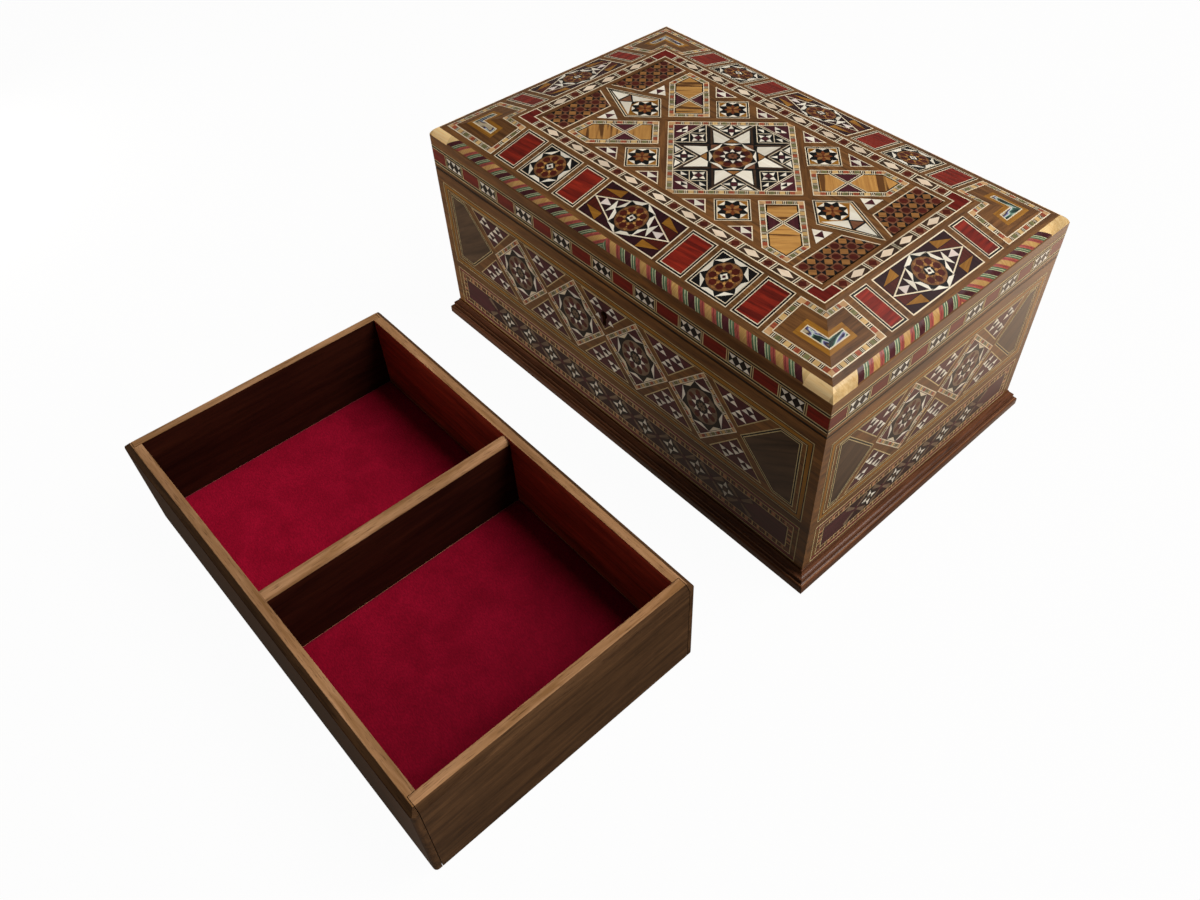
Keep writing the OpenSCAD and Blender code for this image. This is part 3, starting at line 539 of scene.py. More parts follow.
def make_inlay(name, body, boards, plan, woods=LACQUERED_WOOD):
    """One mesh of closed tiles. A board is (origin, u axis, v axis, outward) with its sheet: a corner (u, v)
    becomes origin + u U + v V, once DEEP below the face and once PROUD + STEP level above it. The map OFBake
    is the plan of the face, with the highest tiles last, so a bake keeps what the eye sees."""
    found, flat, grain_at, tint, rows = [], [], [], [], []
    count = 0
    for (origin, u_axis, v_axis, outward), sheet in boards:
        for kind, level, shapes, grain in sheet:
            k, n = shapes.shape[:2]
            middle = shapes.mean(1, keepdims=True)
            both = np.stack([middle + (shapes - middle) * BAKE_SHRINK, shapes], 1)
            height = np.array([-DEEP, PROUD + STEP * level]).reshape(1, 2, 1, 1)
            on_face = origin + np.stack([shapes, shapes], 1) @ np.stack([u_axis, v_axis])
            found.append((on_face + height * outward).reshape(-1, 3))
            flat.append((origin + both @ np.stack([u_axis, v_axis])).reshape(-1, 3))
            angle = np.radians(grain)[:, None, None]
            c, s = np.cos(angle), np.sin(angle)
            x, y = np.moveaxis(both - middle[:, None], -1, 0)
            turned = np.stack([x * c + y * s, y * c - x * s], -1)
            grain_at.append((turned + rng.uniform(0, GRAIN_JUMP, (k, 1, 1, 2))).reshape(-1, 2))
            tint.append(np.repeat(rng.uniform(0.84, 1.12, k), 2 * n))
            index = count + np.arange(k * 2 * n).reshape(k, 2, n)
            low, high = index[:, 0], index[:, 1]
            wall = np.stack([low, np.roll(low, -1, 1), np.roll(high, -1, 1), high], -1).reshape(-1, 4)
            rows += [(0, level, kind, low[:, ::-1]), (1, level, kind, wall), (2, level, kind, high)]
            count += k * 2 * n
    rows.sort(key=lambda row: row[:2])
    faces = [face for row in rows for face in row[3].tolist()]
    wood_of = np.concatenate([np.full(len(row[3]), KINDS.index(row[2])) for row in rows])
    seen = np.concatenate(flat) @ np.stack(plan, 1)
    seen = BAKE_MARGIN + (1 - 2 * BAKE_MARGIN) * (seen - seen.min(0)) / np.ptp(seen, axis=0)
    piece = veneer(name, body, woods, np.concatenate(found), faces, wood_of,
                   np.concatenate(grain_at), seen, np.concatenate(tint))
    print(name, "tiles:", sum(len(row[3]) for row in rows if row[0] == 2), "faces:", len(faces))


# %% [markdown]
# ## Rosettes
#
# The stars are all built the same way: a black octagon, a white sliver on each of its sides that leaves a
# black eight-pointed star, and a round flower of wood in the middle with dark spots, white points or
# petals. The maker glues sticks into a rod and saws alike slices off it. Here too each star is drawn once,
# round the origin, and repeated, which is less work than drawing it in its place every time.

# %% Medallions
HALF_TURN = 22.5


def octagon(inradius, depth, flat, diagonal="bone", share=1.0):
    """A black octagon with a sliver on each side: the side's two ends and its middle moved in by depth. On
    the straight sides the tip is cut off, so the inner edge is flat long. A sliver takes up this share of its
    side."""
    corner = ngon(8, inradius / np.cos(np.pi / 8), HALF_TURN)
    after = np.roll(corner, -1, 0)
    along = (after - corner) / np.linalg.norm(after - corner, axis=1, keepdims=True) * flat / 2
    on_side = (corner + after) / 2
    middle = on_side * (1 - depth / inradius)
    near, far = on_side + (corner - on_side) * share, on_side + (after - on_side) * share
    pointed = np.stack([near, far, middle], 1)[0::2]
    straight = np.stack([near, far, middle + along, middle - along], 1)[1::2]
    return lay([], ("ebony", 0, corner), (diagonal, 1, pointed, np.arange(135, 450, 90)),
               ("bone", 1, straight, np.arange(180, 540, 90)))


def points(inner, outer, half):
    """Eight triangles that point outwards, base at radius inner, tip at radius outer."""
    return spun(pts(inner, -half, outer, 0, inner, half), 8)


def dots(radius, size):
    """Eight hexagons on a circle, each between two points of the star."""
    return spun((ngon(6, size) + [radius, 0]) @ turn_2d(HALF_TURN), 8)


star_rosette = lay(
    octagon(11.4, 2.1, 3.6),
    ("brown_wood", 1, ngon(20, 8.9, 9)),
    ("apricot", 2, points(7.2, 8.7, 1.3)),
    ("olive_wood", 2, spun(pts(2.8, 0, 4.4, -1.0, 6.4, 0, 4.4, 1.0), 8)),
    ("rosewood", 3, dots(5.9, 2.15)),
    ("ebony", 4, ngon(8, 3.1, HALF_TURN)),
    ("bone", 5, spun(pts(0.9, -0.9, 2.5, 0.2, 0.9, 1.5, 0.2, 0.9), 4)),
    ("purple_heart", 6, ngon(4, 1.1)))
petal = pts(0.3, 0, 3.0, -1.35, 5.1, 0, 3.0, 1.35)
flower = lay(
    octagon(7.6, 1.9, 0.6, share=0.76),
    ("apricot", 3, spun(petal, 4)),
    ("rust_wood", 3, spun(petal @ turn_2d(45), 4), 45),
    ("rosewood", 5, ngon(8, 0.8)))
great_star = lay(
    octagon(12.7, 1.9, 2.4),
    ("brown_wood", 1, ngon(24, 10.9)),
    ("apricot", 2, spun(pts(8.3, -1.5, 10.6, -1.1, 10.6, 1.1, 8.3, 1.5), 8)),
    ("rosewood", 3, dots(8.1, 2.3)),
    ("aubergine", 4, ngon(16, 7.0, HALF_TURN / 2)),
    ("bone", 5, points(4.1, 7.0, 1.35)),
    ("ebony", 6, ngon(16, 4.2, HALF_TURN / 2)),
    ("plum_wood", 7, spun(pts(0.4, 0, 1.9, -0.8, 3.3, 0, 1.9, 0.8), 8)))
side_star = lay(
    octagon(14.0, 2.0, 1.0, "maple"),
    ("drab_wood", 1, ngon(24, 10.8)),
    ("rosewood", 2, dots(8.3, 1.9)),
    ("purple_heart", 3, ngon(16, 7.3, HALF_TURN / 2)),
    ("bone", 4, points(4.2, 7.3, 1.4)),
    ("ebony", 5, ngon(16, 4.2, HALF_TURN / 2)),
    ("drab_wood", 6, spun(pts(0.4, 0, 1.8, -0.7, 3.2, 0, 1.8, 0.7), 8)))
print("rosettes drawn:", len(star_rosette), len(flower), len(great_star), len(side_star))

# %% [markdown]
# ## The flat field of the lid
#
# The middle of the lid is a rhombus of bone and ebony stars. Round it stand four striped houses of olive
# wood, four small rosettes, two kites and four lattice panels, inside a border of bone diamonds. Both
# halves mirror, so most pieces are drawn in one quarter and mirrored.

# %% Border of diamonds
BORDER_PITCH, PAIR_OFF, BORDER_X, BORDER_Y = 21.4, 7.2, 109, 54.5
ROUND_GRAIN = [0, 0, 90, 90]
field = lay(
    [],
    ("walnut", 0, np.concatenate([rect(-103, [-51.4, 48.1], 103, [-48.1, 51.4]),
                                  rect([-106, 103], -51.4, [-103, 106], 51.4)]), ROUND_GRAIN),
    ("dark_walnut", 0, np.concatenate([rect(-112, [-57.6, 51.4], 112, [-51.4, 57.6]),
                                       rect([-112, 106], -51.4, [-106, 112], 51.4)]), ROUND_GRAIN))
bone_x, knot_x = np.arange(-4, 5) * BORDER_PITCH, (np.arange(10) - 4.5) * BORDER_PITCH
pair_x = np.concatenate([bone_x - PAIR_OFF, bone_x + PAIR_OFF, [-100, 100]])
bone_y, knot_y = np.array([-29.7, -7.4, 7.4, 29.7]), np.array([-40.8, -18.5, 18.5, 40.8])
pair_y = np.concatenate([bone_y - PAIR_OFF, bone_y + PAIR_OFF, [0.2]])
diamond_cell = lay([], ("camel_bone", 2, pts(5.3, 0, 0, 2.45, -5.3, 0, 0, -2.45)))
knot_cell = lay([], ("plum_wood", 1, rect(-2.7, -2.75, 2.7, 2.75), 90), ("rosewood", 2, ngon(4, 2.6)))
pair_cell = lay([], ("ebony", 1, rect(-0.9, -2.8, 0.9, 2.8), 90),
                ("maple", 2, rect([-0.9, 0.35], -2.8, [-0.35, 0.9], 2.8), 90))
border = (diamond_cell, bone_x, bone_y), (knot_cell, knot_x, knot_y), (pair_cell, pair_x, pair_y)
for cell, xs, ys in border:
    for sign in (-1, 1):
        spots = [(x, sign * BORDER_Y, 0, 1) for x in xs] + [(sign * BORDER_X, y, 90, 1) for y in ys]
        place_at(field, cell, spots)
angle_tile = pts(101.2, 57.4, 101.2, 51.5, 106.1, 51.5, 106.1, 45.2, 111.8, 45.2, 111.8, 57.4)
lay(field,
    ("red_padauk", 2, sides_of(angle_tile)),
    ("maple", 3, sides_of(rect(106.1, 44.6, 111.8, 45.2))),
    ("maple", 3, ring(rect(-112.5, -57.9, 112.5, 57.9), 0, 0.6)),
    ("maple", 3, ring(rect(-106.2, -51.6, 106.2, 51.6), 0, 0.6)))
print("border cells:", len(bone_x) + len(knot_x), "to a long side")

# %% Lattice panels
COLUMNS, ROWS, CELL = 3, 8, 5.8
LATTICE_X, LATTICE_Y = 84.8, 48.2
lattice = pts(LATTICE_X, LATTICE_Y, LATTICE_X, 12, 102.8, 4.3, 102.8, LATTICE_Y)
lay(field, ("maple", 1, sides_of(ring(lattice, 0, 0.6))))
column, row = np.meshgrid(np.arange(COLUMNS), np.arange(ROWS), indexing="ij")
cell_at = np.stack([LATTICE_X + 0.6 + CELL * (column + 0.5), LATTICE_Y - 0.6 - CELL * (row + 0.5)], -1)
odd = (column + row) % 2 == 1


def above_slant(shapes):
    """Cuts cells off at the panel's slanted foot by lifting corners onto it, and drops what is left flat."""
    foot = 12.7 - (shapes[..., 0] - LATTICE_X) * 7.7 / 18
    cut = np.stack([shapes[..., 0], np.maximum(shapes[..., 1], foot)], -1)
    return cut[np.ptp(cut[..., 1], axis=1) > 0.9]


for pick, ground, spotted, shape in ((odd, "ebony", "apricot", ngon(4, 2.75)),
                                     (~odd, "plum_wood", "rosewood", ngon(8, 2.35, HALF_TURN))):
    at = cell_at[pick][:, None]
    lay(field, (ground, 1, sides_of(above_slant(at + rect(-2.9, -2.9, 2.9, 2.9)))),
        (spotted, 2, sides_of(above_slant(at + shape)), 35))
print("lattice cells:", odd.size)

# %% Houses of olive wood
house = pts(53.5, 3.5, 81, 31, 81, 48, 64.8, 48, 36.9, 20.1)
house_sheet = []
dashed_ring(house_sheet, house, 3.5)
cx, cy = 58.6, 25.2
lay(house_sheet,
    ("ebony", 1, ring(house, 3.5, 4.2)),
    ("olive_wood", 1, pts(53.5, 8.6, cx, 13.7, cx, cy, 47.1, cy, 42, 20.1), 135),
    ("olive_wood", 1, pts(cx, cy, 70.1, cy, 77, 32.1, 77, 44, 65.8, 44, cx, 36.7), 135))
for wing in (pts(cx, 13.7, 70.1, cy, cx, cy), pts(47.1, cy, cx, cy, cx, 36.7)):
    lay(house_sheet, ("maple", 1, ring(wing, 0, 0.5)), ("purple_heart", 1, inset(wing, 0.5), 45))
cross_from = [[cx - 0.6, 13], [cx + 0.6, 13.6], [46.4, cy - 0.6], [46.9, cy + 0.6]]
cross_to = [[cx - 0.6, 36.6], [cx + 0.6, 37.3], [70, cy - 0.6], [70.7, cy + 0.6]]
lay(house_sheet,
    ("ebony", 2, bars([[cx, 13.2], [46.6, cy]], [[cx, 37.2], [70.6, cy]], 1.7)),
    ("maple", 3, bars(cross_from, cross_to, 0.5)))
for sx, sy in QUARTERS:
    place_at(field, house_sheet, [(0, 0, 0 if sy > 0 else 180, sx * sy)])
print("house tiles:", sum(len(group[2]) for group in house_sheet))

# %% Rosettes, kites and triangles of the field
rosette_spots = sides_of(pts(33.5, 35.4))[:, 0]
for spot in rosette_spots:
    panel = ngon(4, 13.2) + spot
    outline_lines(field, panel, (0, 0.42, 1.28, 1.7))
    lay(field, ("mulberry", 1, inset(panel, 1.7), 45))
place_at(field, flower, rosette_spots, 2)
kite = pts(55.7, 0, 70.7, -14.3, 102.7, 0, 70.7, 14.3)
kite_sheet = []
outline_lines(kite_sheet, kite, (0, 0.42, 1.33, 1.75))
lay(kite_sheet,
    ("mulberry", 1, inset(kite, 1.75)),
    ("ebony", 2, pts(77.6, 8.4, 99.3, 0, 77.6, -8.4)),
    ("bone", 3, sides_of(pts(71.0, 11.3, 85.1, 4.7, 79.6, 0.5), UP_DOWN), 20),
    ("bone", 3, pts(87, 4.0, 97.4, 0, 87, -4.0)),
    ("plum_wood", 3, pts(80.4, 0, 85.9, -4.2, 85.9, 4.2)))
place_at(kite_sheet, flower, (69.1, 0), 3)
place_at(field, kite_sheet, [(0, 0, 0, 1), (0, 0, 0, -1)])
wedge = pts(71.6, 18.9, 80.7, 13.8, 80.7, 26.4)
half_way = (wedge + np.roll(wedge, -1, 0)) / 2
lay(field, ("purple_heart", 1, sides_of(half_way)),
    ("bone", 1, sides_of(np.stack([wedge, half_way, np.roll(half_way, 1, 0)], 1))))
for tri in (pts(8.8, 47.2, 17.5, 38.5, 26.2, 47.2), pts(41.1, 47.2, 49.8, 38.2, 58.5, 47.2)):
    tip = tri[1, 0]
    lay(field, ("maple", 1, sides_of(ring(tri, 0, 0.6))), ("purple_heart", 1, sides_of(inset(tri, 0.6))),
        ("bone", 2, sides_of(pts(tip - 4, 42.6, tip + 4, 42.6, tip, 46.5))))
print("kite tiles:", sum(len(group[2]) for group in kite_sheet))

# %% The star rhombus
SLANTED = [-45, 45, -45, 45]
STAR_AT = [18.5, 18.5]
lay(field,
    ("walnut", 0, sides_of(pts(56, 0, 50, 0, 2.7, 47.3, 8.7, 47.3)), SLANTED),
    ("lemon_wood", 1, sides_of(pts(50, 0, 2.7, 47.3, 0, 47.3, 0, 45, 45, 0)), SLANTED))
for start, end in sides_of(pts(46.0, 1.5, 1.6, 45.9)):
    dashes(field, start, end, 2.6)
lay(field, ("maple", 2, sides_of(bars([[49.6, 0], [45.3, 0]], [[2.3, 47.3], [0, 45.3]], 0.5))),
    ("ebony", 1, ngon(4, 45)))
walnut_legs = np.concatenate([rect(11.9, 13.3, 13.1, 31.2), bars([11.9, 27.6], [0.9, 16.7], 1.2)])
leg_lines = bars([[13.4, 13.2], [13.0, 32.8], [0.2, 32.7]], [[13.4, 31.6], [0.2, 19.9], [6.6, 26.3]], 0.45)
star_arm = lay(
    [],
    ("purple_heart", 2, pts(-10.6, 34.2, 10.6, 34.2, 0, 44.8)),
    ("bone", 3, tris(-4.6, 39.0, -0.1, 39.0, -2.35, 36.6, 4.6, 39.0, 0.1, 39.0, 2.35, 36.6,
                     -2.2, 36.5, 2.2, 36.5, 0, 34.6)),
    ("ebony", 3, pts(-2.35, 36.7, 2.35, 36.7, 0, 39.0)),
    ("maple", 3, bars([[-11.4, 33.1], [-10.9, 34.2]], [[11.4, 33.1], [10.9, 34.2]], 0.5)),
    ("bone", 2, sides_of(pts(11.6, 26.0, 11.6, 12.9, 5.9, 12.9, 2.8, 16.6), LEFT_RIGHT), 90),
    ("dark_walnut", 2, sides_of(walnut_legs, LEFT_RIGHT), 90),
    ("maple", 3, sides_of(leg_lines, LEFT_RIGHT)),
    ("bone", 2, tris(0, 31.6, -1.5, 28.0, 1.5, 28.0, 0, 21.2, 1.5, 24.0, -1.5, 24.0,
                     5.0, 26, 2.0, 27.5, 2.0, 24.5, -5.0, 26, -2.0, 24.5, -2.0, 27.5), 90),
    ("purple_heart", 2, rect(-1.7, 24.3, 1.7, 27.7)),
    ("bone", 2, sides_of(pts(4.4, 29.9, 9.4, 29.9, 6.9, 32.3), LEFT_RIGHT)),
    ("plum_wood", 2, pts(-3.3, 13.0, 3.3, 13.0, 0, 16.3)))
corner_star = lay(
    [],
    ("apricot", 2, pts(12.3, 7.4, 12.3, 12.3, 7.4, 12.3), 45),
    ("maple", 3, bars([[13.7, 23.4], [23.4, 13.7]], [[21.6, 23.4], [23.4, 21.6]], 0.45)),
    ("bone", 2, spun(pts(4.2, 4.2, 0.5, 2.4, 2.4, 0.5), 4) + STAR_AT, 45),
    ("purple_heart", 2, ngon(4, 2.2) + STAR_AT),
    ("bone", 2, tris(15.1, 24.4, 19.4, 24.4, 15.1, 29.3, 24.4, 15.1, 24.4, 19.4, 29.3, 15.1)))
turns = [(0, 0, angle, 1) for angle in (0, 90, 180, 270)]
place_at(field, star_arm, turns)
place_at(field, corner_star, turns)
place_at(field, great_star, (0, 0), 2)
print("field groups:", len(field))

# %% [markdown]
# ## The four slopes of the lid
#
# The slopes carry framed panels in a row: a purple one with a rhombus in the middle, red ones, stars on the
# long sides, and at each corner a striped frame that turns the hip round a shell angle. A slope is drawn
# with u along the rim and v as the distance in from the rim, in plan, so one drawing serves two slopes.

# %% Panels of a slope
PANEL_LOW, PANEL_HIGH, PANEL_MIDDLE = 3.7, 29.5, 16.6


def red_panel(sheet, x0, x1):
    """A padauk panel from x0 to x1 inside stringing."""
    panel = rect(x0, PANEL_LOW, x1, PANEL_HIGH)[0]
    outline_lines(sheet, panel)
    lay(sheet, ("padauk", 1, inset(panel, STRINGING[-1]), 5))


panel_edge = rect(-28.6, -12.9, 28.6, 12.9)
rhombus_panel = lay(
    [],
    ("maple", 1, ring(panel_edge, 0, 0.7)),
    ("aubergine", 1, inset(panel_edge, 0.7), 90),
    ("rosewood", 2, sides_of(pts(15.2, 6.2, 27.0, 6.2, 27.0, 0.9, 26.0, 0.9)), 90),
    ("maple", 3, ring(pts(27.9, 0, 0, 12.2, -27.9, 0, 0, -12.2), 0, 0.7)),
    ("mulberry", 2, sides_of(pts(15.2, 6.6, 27.0, 6.6, 15.2, 12.0)), 20),
    ("pink_bone", 2, sides_of(pts(15.3, 0, 21.4, -2.6, 21.4, 2.6), LEFT_RIGHT)),
    ("bone", 3, sides_of(pts(11.8, 0, 15.0, -4.6, 15.0, 4.6), LEFT_RIGHT)))
place_at(rhombus_panel, star_rosette, (0, 0, HALF_TURN, 1), 3)
star_panel = []
square = rect(-13.4, -12.9, 13.4, 12.9)
outline_lines(star_panel, square)
lay(star_panel, ("ebony", 1, inset(square, STRINGING[-1])))
place_at(star_panel, star_rosette, (0, 0), 2)
print("panel groups:", len(rhombus_panel), len(star_panel))


# %% Corner panels on the hips
def corner_panel(sheet, half, end):
    """The part of a corner panel that lies on one slope, for both ends. a is the distance from the
    neighbour's rim, b from the own rim, and the hip is a = b; u = half - a. The panel ends at a = end."""
    def to_u(ab):
        """From (a, b) to (u, v)."""
        return np.stack([half - ab[..., 0], ab[..., 1]], -1)

    def hipped(low, high, in_by):
        """A four-cornered panel with two corners on the hip."""
        return pts(low, low, end - in_by, low, end - in_by, high, high, high)

    frame_tile = np.concatenate([hipped(3.5, 29.5, 0), hipped(7.1, 26.4, 3.6)[::-1]])
    tiles = (("lemon_wood", 1, frame_tile), ("walnut", 1, hipped(7.1, 26.4, 3.6)),
             ("mulberry", 2, hipped(11.6, 21.2, 11)), ("maple", 3, hipped(14.0, 18.8, 13.4)),
             ("abalone", 4, hipped(14.6, 18.2, 14)))
    for kind, level, shape in tiles:
        lay(sheet, (kind, level, sides_of(to_u(shape), LEFT_RIGHT)))
    edge_lines = ring(hipped(3.5, 29.5, 0), 0, 0.55)[:3]
    inner_lines = bars([[6.9, 6.9], [end - 3.4, 6.9], [end - 3.6, 26.6]],
                       [[end - 3.6, 6.9], [end - 3.4, 26.6], [26.6, 26.6]], 0.5)
    lay(sheet, ("maple", 2, sides_of(to_u(np.concatenate([edge_lines, inner_lines])), LEFT_RIGHT)))
    runs = pts(6.5, 5.3, end - 4, 5.3, end - 1.85, 7.6, end - 1.85, 26, end - 4, 28, 29, 28)
    for run in to_u(runs).reshape(3, 2, 2):
        for start, stop in sides_of(run, LEFT_RIGHT):
            dashes(sheet, start, stop, 2.5)


RIM_L, RIM_W = 145.5, 90.5
long_slope, short_slope = [], []
for sign in (1, -1):
    for slope, x0, x1 in ((long_slope, 31.2, 48.6), (long_slope, 81.0, 98.5), (short_slope, 32.3, 44.8)):
        red_panel(slope, *sorted((sign * x0, sign * x1)))
for slope in (long_slope, short_slope):
    place_at(slope, rhombus_panel, (0, PANEL_MIDDLE))
place_at(long_slope, star_panel, [(-64.9, PANEL_MIDDLE), (64.9, PANEL_MIDDLE)])
corner_panel(long_slope, RIM_L, 44.4)
corner_panel(short_slope, RIM_W, 41.7)
print("slope groups:", len(long_slope), len(short_slope))

# %% Lay the top of the lid
X, Y, Z = np.eye(3)
TOP_Z, RIM_Z, SLOPE_W, RISE = 146.8, 139.5, 32.0, 7.3


def slope_board(out, half):
    """The board of a slope whose rim faces out: v runs in and up, and outward is square to the slope."""
    along = np.cross(Z, out)
    rise = -out + Z * RISE / SLOPE_W
    normal = np.cross(along, rise)
    return out * half + Z * RIM_Z, along, rise, normal / np.linalg.norm(normal)


make_inlay("lid_top_inlay", "lid", [
    ((Z * TOP_Z, X, Y, Z), field),
    (slope_board(-Y, RIM_W), long_slope), (slope_board(Y, RIM_W), long_slope),
    (slope_board(X, RIM_L), short_slope), (slope_board(-X, RIM_L), short_slope),
], (X, Y), POLISHED_WOOD)

# %% [markdown]
# ## Sides of the lid
#
# A red band runs round the lid between two pairs of pale lines, broken by black cells with two rows of
# white triangles. The band could be cut into lengths between the cells, but a cell laid over a whole band
# looks the same, so one cell is drawn and repeated on it.

# %% Lid sides
BAND_LOW, BAND_HIGH = 119.0, 126.2
LID_GAP = 0.3
tooth = np.array([-4.7, 0, 4.7])[:, None, None] * [1, 0]
lid_teeth = np.concatenate([pts(-2.1, 125.5, 0, 122.9, 2.1, 125.5) + tooth,
                            pts(-2.1, 119.7, 2.1, 119.7, 0, 122.3) + tooth])
lid_cell = lay(
    [],
    ("ebony", 2, rect(-7.9, BAND_LOW, 7.9, BAND_HIGH)),
    ("ivory_line", 3, rect([-8.6, -7.4, 6.9, 8.1], BAND_LOW, [-8.1, -6.9, 7.4, 8.6], BAND_HIGH), 90),
    ("bone", 3, lid_teeth))


def lid_side(half, spots):
    """A red band between two pairs of lines with cells of teeth on it, and a black strip along the lower
    edge, painted shade of the gap under the lid."""
    end = half - LID_GAP
    sheet = lay(
        [],
        # Painted shade: this black strip stands for the shadow in the gap between lid and box.
        ("ebony", 1, rect(-half + 0.1, 113.45, half - 0.1, 114.4)),
        ("red_padauk", 1, rect(-end, BAND_LOW, end, BAND_HIGH)),
        ("ebony", 1, rect(-end, [116.6, 126.5], end, [118.6, 128.5])),
        ("ivory_line", 2, rect(-end, [116.5, 118.3, 126.5, 128.1], end, [117.0, 118.8, 127.0, 128.6])))
    place_at(sheet, lid_cell, [(u, 0) for u in spots])
    return sheet


LONG, SHORT = 150.0, 95.0
SIDES = (("front", -Y, SHORT, LONG), ("right", X, LONG, SHORT),
         ("back", Y, SHORT, LONG), ("left", -X, LONG, SHORT))
LID_CELLS = {LONG: np.arange(-4, 5) * 32.2, SHORT: (np.arange(6) - 2.5) * 29.7}
for word, out, reach, half in SIDES:
    board = (out * reach, np.cross(Z, out), Z, out)
    make_inlay(f"lid_{word}_inlay", "lid", [(board, lid_side(half, LID_CELLS[half]))], board[1:3])

# %% [markdown]
# ## Sides of the box
#
# Each side has a row of striped diamonds with a rosette in each, purple triangles with clusters of three
# white teeth between them, plain walnut end panels, and below a band of four-pointed stars. On the front
# the middle triangle leaves room for the keyhole, so it is laid as two halves whose inner edges follow
# the keyhole's outline.

# %% Diamonds and triangles
ROW_Z, DIAMOND_R, DIAMOND_PITCH, LINE = 77.1, 24.2, 49.0, 0.55
side_diamond = []
dashed_ring(side_diamond, ngon(4, DIAMOND_R), 2.8, 0.45)
lay(side_diamond, ("purple_heart", 1, ngon(4, DIAMOND_R - 3.96)))
place_at(side_diamond, side_star, (0, 0), 2)
teeth = lay(
    [],
    ("bone", 3, tris(-2.5, 3.3, 2.5, 3.3, 0, 6.0, -5.1, 0, -0.1, 0, -2.6, 2.7, 0.1, 0, 5.1, 0, 2.6, 2.7)),
    ("aubergine", 2, pts(-2.4, 3.2, 2.4, 3.2, 0, 0.1)))
area = pts(-18.4, 23.9, 0, 4.0, 18.4, 23.9)
inside = inset(area, LINE)
upper = lay([], ("ivory_line", 1, ring(area, 0, LINE)), ("purple_heart", 1, inside))
place_at(upper, teeth, [(-6.4, 17.2), (6.4, 17.2), (0, 10.3)])
print("diamond groups:", len(side_diamond))

# %% The triangle round the keyhole
KEY_R, KEY_SLOT, KEY_Z, KEY_FOOT = 2.7, 1.35, 91.5 - ROW_Z, 84.3 - ROW_Z
arc = np.radians(np.linspace(270 - np.degrees(np.arcsin(KEY_SLOT / KEY_R)), 90, 9))
(left, low), top = inside.min(0), inside[:, 1].max()
left_half = np.concatenate([pts(0, top, left, top, 0, low, 0, KEY_FOOT, -KEY_SLOT, KEY_FOOT),
                            np.stack([KEY_R * np.cos(arc), KEY_Z + KEY_R * np.sin(arc)], 1)])
keyed = lay([], ("ivory_line", 1, ring(area, 0, LINE)), ("purple_heart", 1, sides_of(left_half, LEFT_RIGHT)))
place_at(keyed, teeth, [(-6.6, 17.2), (6.6, 17.2)])
lay(keyed, ("bone", 3, sides_of(pts(3.1, 10.3, 7.4, 10.3, 4.9, 13.4), LEFT_RIGHT)))
print("triangle groups:", len(upper), "round the keyhole:", len(keyed))

# %% Band of small stars
STARS_Z = 28.4
band_star = lay(
    [],
    ("ebony", 2, ngon(4, 6.7)),
    ("bone", 3, spun(pts(2.1, -1.6, 6.1, 0, 2.1, 1.6), 4)),
    ("smoky_walnut", 3, ngon(4, 1.9, 45)))
band_link = lay(
    [],
    ("drab_wood", 3, sides_of(pts(0.6, 0.1, 9.4, 5.2, 7.4, 7.8, 0.2, 0.9)), 40),
    ("purple_heart", 4, pts(2.9, 0, 0, 2.1, -2.9, 0, 0, -2.1)))


def low_band(sheet, half, spots, near, far):
    """The band between the lower lines: maroon, pale and striped strips, stars and two pointed end blocks
    from near to far."""
    end, dash_u = half - 6, half - 10.9
    strip = rect(-half + 9, 16.6, half - 9, 40.2)
    lay(sheet,
        ("wine_strip", 1, rect(-end, [14.5, 40.6], end, [16.2, 42.2])),
        ("ivory_line", 2, ring(rect(-end - 0.3, 13.4, end + 0.3, 42.6), 0, 0.5)),
        ("plum_wood", 1, ring(strip, 0, 3.9)))
    for z in (18.7, 38.1):
        dashes(sheet, (-half + 13, z), (half - 13, z), 2.6, FINE_DASH)
    for u in (-dash_u, dash_u):
        dashes(sheet, (u, 20.5), (u, 36.3), 2.6, FINE_DASH)
    block = pts(near, STARS_Z, near + 7.9, 36.1, far, 36.1, far, 20.7, near + 7.9, 20.7)
    lay(sheet,
        ("ivory_line", 2, np.concatenate([ring(strip, 0, 0.5), ring(strip, 3.4, 3.9)])),
        ("aubergine", 1, rect(-half + 12.9, 20.5, half - 12.9, 36.3)),
        ("purple_heart", 2, sides_of(block, LEFT_RIGHT)))
    step = (spots[1] - spots[0]) / 2
    place_at(sheet, band_star, [(u, STARS_Z) for u in spots])
    place_at(sheet, band_link, [(u, STARS_Z) for u in np.append(spots - step, spots[-1] + step)])


# %% Lay the sides
FRAME_LINES = ((0, 0.4, "ivory_line"), (0.4, 1.0, "ebony"), (1.0, 3.2, "mulberry"), (3.2, 3.8, "ebony"),
               (3.8, 4.2, "ivory_line"))
# Diamonds in the row, its stretch, places of the small stars, and where an end block starts and stops.
LAYOUT = {LONG: (4, 1.01, (np.arange(10) - 4.5) * 20.9, 108, 136.8),
          SHORT: (2, 1.04, np.arange(-2, 3) * 22.0, 56.5, 81.8)}


